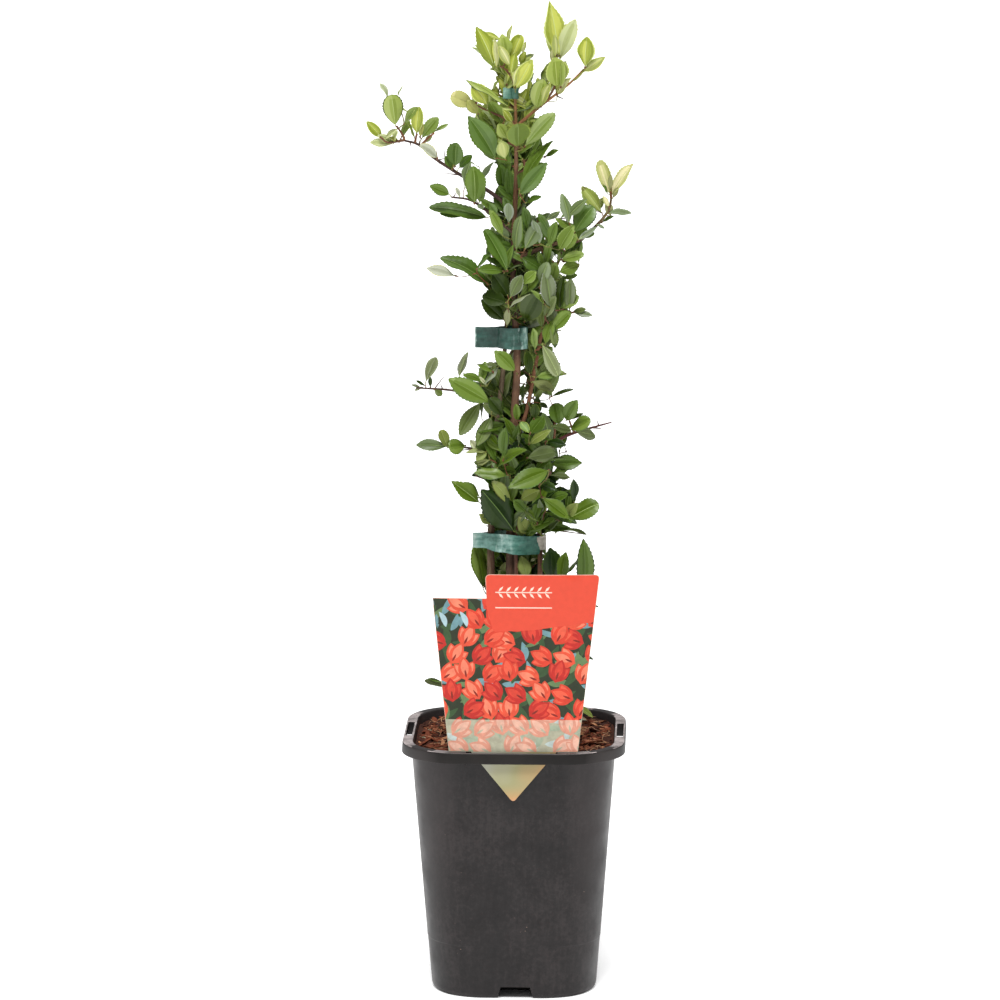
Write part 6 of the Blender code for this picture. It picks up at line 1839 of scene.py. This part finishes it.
def add_to_skeleton(points, tid, radius):
    """A new twig's points can carry later ones."""
    global skel_pos, skel_dir, skel_rad, skel_own, skel_run
    steps = len(points) - 1
    pos = np.array([tuple(p) for p in points[1:]])
    way = np.array([tuple((points[min(k + 1, steps)] - points[k - 1]).normalized()) for k in range(1, steps + 1)])
    first = len(skel_pos)
    skel_pos = np.vstack([skel_pos, pos])
    skel_dir = np.vstack([skel_dir, way])
    skel_rad = np.concatenate([skel_rad, np.full(steps, radius)])
    skel_own = np.concatenate([skel_own, np.full(steps, tid)])
    skel_run = np.concatenate([skel_run, np.arange(1, steps + 1) / steps])
    return pos, first


for places, y0, y1 in SHOOTS:
    way = [at(u, v, y0 + (y1 - y0) * k / (len(places) - 1)) / MM for k, (u, v) in enumerate(places)]
    k = int(np.argmin(join_cost(np.array(tuple(way[0])), skel_pos, skel_own)))
    start = Vector(skel_pos[k])
    if (start - way[0]).length > 0.8:
        way = [start] + way
    else:
        way[0] = start
    run_mm = sum((b - a).length for a, b in zip(way, way[1:]))
    pts = curve_points([tuple(q) for q in way], max(4, int(run_mm / 1.8)))
    twigs.append(dict(pts=pts, parent=int(skel_own[k]), cap=float(skel_rad[k]), load=0, thick=0.95))
    add_to_skeleton(pts, len(twigs) - 1, 0.6)

best_cost = np.full(len(clusters), np.inf)
best_at = np.zeros(len(clusters), int)
for i, tg in enumerate(targets):
    cost = join_cost(tg, skel_pos, skel_own)
    best_at[i] = int(np.argmin(cost))
    best_cost[i] = cost[best_at[i]]
is_open = np.ones(len(clusters), bool)
while is_open.any():
    i = int(np.argmin(np.where(is_open, best_cost, np.inf)))
    is_open[i] = False
    k = best_at[i]
    start, goal = Vector(skel_pos[k]), clusters[i]["base"]
    way = goal - start
    dist = way.length
    heading = Vector((0, 0, 0))
    for leaf in clusters[i]["leaves"]:
        heading += (leaf["tip"] - leaf["base"]).normalized()
    heading = heading.normalized() if heading.length > 1e-3 else way.normalized()
    if dist > 0.6:
        out = (way.normalized() * 0.85 + Vector(skel_dir[k]) * 0.32).normalized()
        steps = max(3, int(dist / 2.2) + 1)
        pts = []
        wob = Vector((rng.gauss(0, 1), rng.gauss(0, 1), rng.gauss(0, 1))) * min(dist * 0.03, 0.9)
        for s in range(steps + 1):
            t = s / steps
            h00, h10 = 2 * t ** 3 - 3 * t ** 2 + 1, t ** 3 - 2 * t ** 2 + t
            h01, h11 = -2 * t ** 3 + 3 * t ** 2, t ** 3 - t ** 2
            q = start * h00 + out * (dist * 0.7 * h10) + goal * h01 + heading * (dist * 0.5 * h11)
            q += wob * math.sin(math.pi * t) + wob.yzx * 0.5 * math.sin(3 * math.pi * t)
            pts.append(q)
        pts[0], pts[-1] = start, goal
        owner = len(twigs)
        twigs.append(dict(pts=pts, parent=int(skel_own[k]), cap=float(skel_rad[k]), load=0, thick=0.0))
        new_pos, base_n = add_to_skeleton(pts, owner, 0.45)
        left_over = np.flatnonzero(is_open)
        if len(left_over):
            d = targets[left_over][:, None, :] - new_pos[None, :, :]
            far = np.linalg.norm(d, axis=2) + 1e-6
            cost = far * (1.35 - 0.5 * d[:, :, 2] / far) + 1.2
            m = np.argmin(cost, axis=1)
            low = cost[np.arange(len(left_over)), m]
            better = low < best_cost[left_over]
            best_cost[left_over[better]] = low[better]
            best_at[left_over[better]] = base_n + m[better]
    else:
        owner = int(skel_own[k])
    while owner >= 0:
        twigs[owner]["load"] += len(clusters[i]["leaves"])
        owner = twigs[owner]["parent"]

TWIG_MATS = [
    bark_material("twig_brown", [(0.17, (88, 58, 42)), (0.62, (104, 70, 46))], (122, 90, 62), 0.3),
    bark_material("twig_red", [(0.17, (110, 64, 46)), (0.62, (126, 80, 50))], (138, 96, 64), 0.3),
    bark_material("twig_green", [(0.17, (100, 96, 48)), (0.62, (136, 138, 66))], (138, 140, 78), 0.0),
    bark_material("petiole", [(0.17, (104, 120, 50)), (0.62, (150, 160, 80))], (140, 150, 80), 0.0),
]
twig_batch = Batch()
for tw in twigs:
    r0 = max(0.30 * tw["load"] ** 0.34 + 0.08, tw["thick"])
    cap = tw["cap"] * 0.85
    if tw["parent"] >= 0:
        parent = twigs[tw["parent"]]
        cap = max(0.30 * parent["load"] ** 0.34 + 0.08, parent["thick"]) * 0.95
    r0 = max(min(r0, max(cap, tw["thick"])), 0.28)
    r1 = max(0.25, r0 * 0.62, tw["thick"] * 0.6)
    n = len(tw["pts"])
    radii = [(r0 + (r1 - r0) * (k / (n - 1)) ** 0.8) * (1.0 + (0.22 if k == n - 1 else 0.0)) for k in range(n)]
    high = tw["pts"][-1].z
    mat = 0 if tw["load"] > 4 else 1 if rng.random() < 0.55 else 2
    if high > 600 and tw["load"] <= 4:
        mat = 2
    sweep(twig_batch, [p * MM for p in tw["pts"]], [r * MM for r in radii], 8 if r0 > 0.6 else 6, mat)
    if n > 5 and rng.random() < 0.8:
        # a bud and its scar part way along
        k = rng.randrange(2, n - 1)
        p, q = tw["pts"][k], tw["pts"][k - 1]
        t = (p - q).normalized()
        side = t.orthogonal().normalized()
        side.rotate(Matrix.Rotation(rng.uniform(0, 6.28), 3, t))
        b0 = p + side * radii[k] * 0.4
        sweep(twig_batch, [b0 * MM, (b0 + side * 0.5 + t * 0.4) * MM, (b0 + side * 0.7 + t * 1.2) * MM],
              [0.42 * MM, 0.4 * MM, 0.12 * MM], 6, 1)
leaf_sets = {"top": LeafBatch(), "upper": LeafBatch(), "middle": LeafBatch(), "low": LeafBatch(), "foot": LeafBatch()}
for cl in clusters:
    if cl["base"].y < 16 and rng.random() < 0.4:
        # a knot of old bud scales where the leaves spring
        b0 = cl["base"]
        up = ((cl["leaves"][0]["tip"] - b0).normalized() + Vector((0, 0, 0.6))).normalized()
        r = rng.uniform(0.55, 0.9)
        sweep(twig_batch, [(b0 - up * r * 0.9) * MM, (b0 - up * r * 0.2) * MM, (b0 + up * r * 0.7) * MM, (b0 + up * r * 1.5) * MM],
              [0.4 * r * MM, r * MM, 0.8 * r * MM, 0.25 * r * MM], 6, 0)
    for leaf in cl["leaves"]:
        base, tip = leaf["base"], leaf["tip"]
        z = base.z
        level = "top" if z > 572 else "upper" if z > 478 else "middle" if z > 392 else "low" if z > 312 else "foot"
        axis = (tip - base).normalized()
        start = cl["base"]
        stalk = min(1.3, 0.05 * (tip - base).length)
        blade = base + axis * stalk if leaf["fine"] else base
        leaf_sets[level].leaf(blade, tip, leaf["normal"], leaf["width"], leaf["tone"], rng, leaf["flags"], leaf["fine"])
        mid = start.lerp(blade, 0.5) + Vector((0, 0, -0.15))
        sweep(twig_batch, [start * MM, mid * MM, (blade + axis * 0.5) * MM], [0.34 * MM, 0.3 * MM, 0.3 * MM], 6, 3)

# spines: short bare side shoots, on the places that show and by rule elsewhere
thorn_batch = Batch()


def thorn(a, b, thick):
    mid = a.lerp(b, 0.5) + Vector((0, 0, 0.02)) * (b - a).length
    path = curve_points([tuple(a), tuple(mid), tuple(b)], 7)
    sweep(thorn_batch, [p * MM for p in path], [thick * MM * (1 - (k / 6) ** 1.3) * 0.5 + 0.05 * MM for k in range(7)], 8, 0)


def nearest_wood(p):
    d = np.linalg.norm(skel_pos - np.array(tuple(p))[None, :], axis=1)
    return Vector(skel_pos[int(np.argmin(d))])


for bu, bv, tu, tv, thick in THORNS:
    p = at(bu, bv, -4) / MM
    for _ in range(3):
        root = nearest_wood(p)
        p = at(bu, bv, root.y) / MM
    tip = at(tu, tv, root.y - 3) / MM
    if (root - p).length > 1.5:
        thorn_path = [root, root.lerp(p, 0.5) + Vector((0, 0, -0.4)), p, p.lerp(tip, 0.5), tip]
        pts = curve_points([tuple(q) for q in thorn_path], 12)
        sweep(thorn_batch, [q * MM for q in pts], [thick * MM * (1 - (k / 11) ** 1.5) * 0.5 + 0.06 * MM for k in range(12)], 8, 0)
    else:
        thorn(root, tip, thick)
for pos, direction, radius in limb_points[::23]:
    if pos.z < 330 or radius > 3.0 or rng.random() < 0.45:
        continue
    a = rng.uniform(math.radians(20), math.radians(160))
    out = Vector((math.cos(a), abs(math.sin(a)), rng.uniform(0.1, 0.5))).normalized()
    thorn(pos + out * radius * 0.8, pos + out * (radius + rng.uniform(5, 10)), rng.uniform(0.8, 1.2))
THORN_MAT = bark_material("thorn_wood", [(0.17, (96, 68, 54)), (0.6, (86, 62, 54))], (66, 48, 44), 0.0)

groups = {
    "top": ["foliage_top_left", "foliage_top_mid", "foliage_top_right", "foliage_neck", "foliage_arm_left_tip", "foliage_back_top"],
    "upper": ["foliage_arm_left_mid", "foliage_arm_left_low", "foliage_shoulder_left", "foliage_core_upper", "foliage_core_back",
              "foliage_right_upper", "foliage_arm_right_tip"],
    "middle": ["foliage_mid_upper", "foliage_mid_upper_back", "foliage_mid_right", "foliage_mid_left", "foliage_mid_back",
               "foliage_twig_left"],
    "low": ["foliage_low_right", "foliage_twig_low_left", "foliage_low_core", "foliage_low_back", "foliage_lower",
            ],
    "foot": ["foliage_base_left", "foliage_base_right", "foliage_base_back", "foliage_foot_left", "foliage_foot_right"],
}
total = 0
for level, batch in leaf_sets.items():
    age = {"top": "crown", "upper": "high", "middle": "mid"}.get(level, "low")
    obj = batch.build("leaves_" + level, [leaf_mat(k, age) for k in batch.keys], 60)
    finish_piece(obj, "leaf_young" if level == "top" else "leaf_green", *groups[level])
    print("leaves", level, batch.triangles())
    total += batch.triangles()
finish_piece(twig_batch.build("twigs", TWIG_MATS, 60), "young_bark")
finish_piece(thorn_batch.build("spines", [THORN_MAT], 60), "young_bark")
print("clusters", len(clusters), "twigs", len(twigs), "leaf triangles", total, "twig triangles", twig_batch.triangles())

# -------------------------------------------------------- floor and light
floor_mat = new_mat("pale_floor", (0.97, 0.97, 0.97), 0.95, Specular_IOR_Level=0.1, Emission_Strength=0.36)
# the floor glows to stay evenly white; its glow stops under the pot, a painted shadow, so the channel in its foot stays
# dark
n = Nodes(floor_mat)
sixth = n.math('ADD', n.math('POWER', n.math('ABSOLUTE', n.axis(0)), 6.0), n.math('POWER', n.math('ABSOLUTE', n.axis(1)), 6.0))
n.link(n.remap(n.math('POWER', sixth, 1.0 / 6.0), 0.050, 0.054, 0.0, 0.36), n.bsdf.inputs["Emission Strength"])
bm = bmesh.new()
bmesh.ops.create_grid(bm, x_segments=4, y_segments=4, size=40.0)
floor = from_bmesh("floor", bm, [floor_mat])
floor.location = (0, 0, -0.0002)

world = bpy.data.worlds.new("studio")
world.use_nodes = True
world.node_tree.nodes["Background"].inputs["Color"].default_value = (1.0, 1.0, 1.0, 1.0)
world.node_tree.nodes["Background"].inputs["Strength"].default_value = 0.33
scene.world = world


def sun(name, direction, strength, angle):
    data = bpy.data.lights.new(name, 'SUN')
    data.energy = strength
    data.angle = math.radians(angle)
    obj = bpy.data.objects.new(name, data)
    obj.rotation_euler = Vector(direction).to_track_quat('-Z', 'Y').to_euler()
    scene.collection.objects.link(obj)


sun("key_light", (0.02, 0.52, -1.0), 2.4, 20)
sun("top_light", (0.02, 0.06, -1.0), 1.15, 60)
scene.view_settings.view_transform = 'Standard'
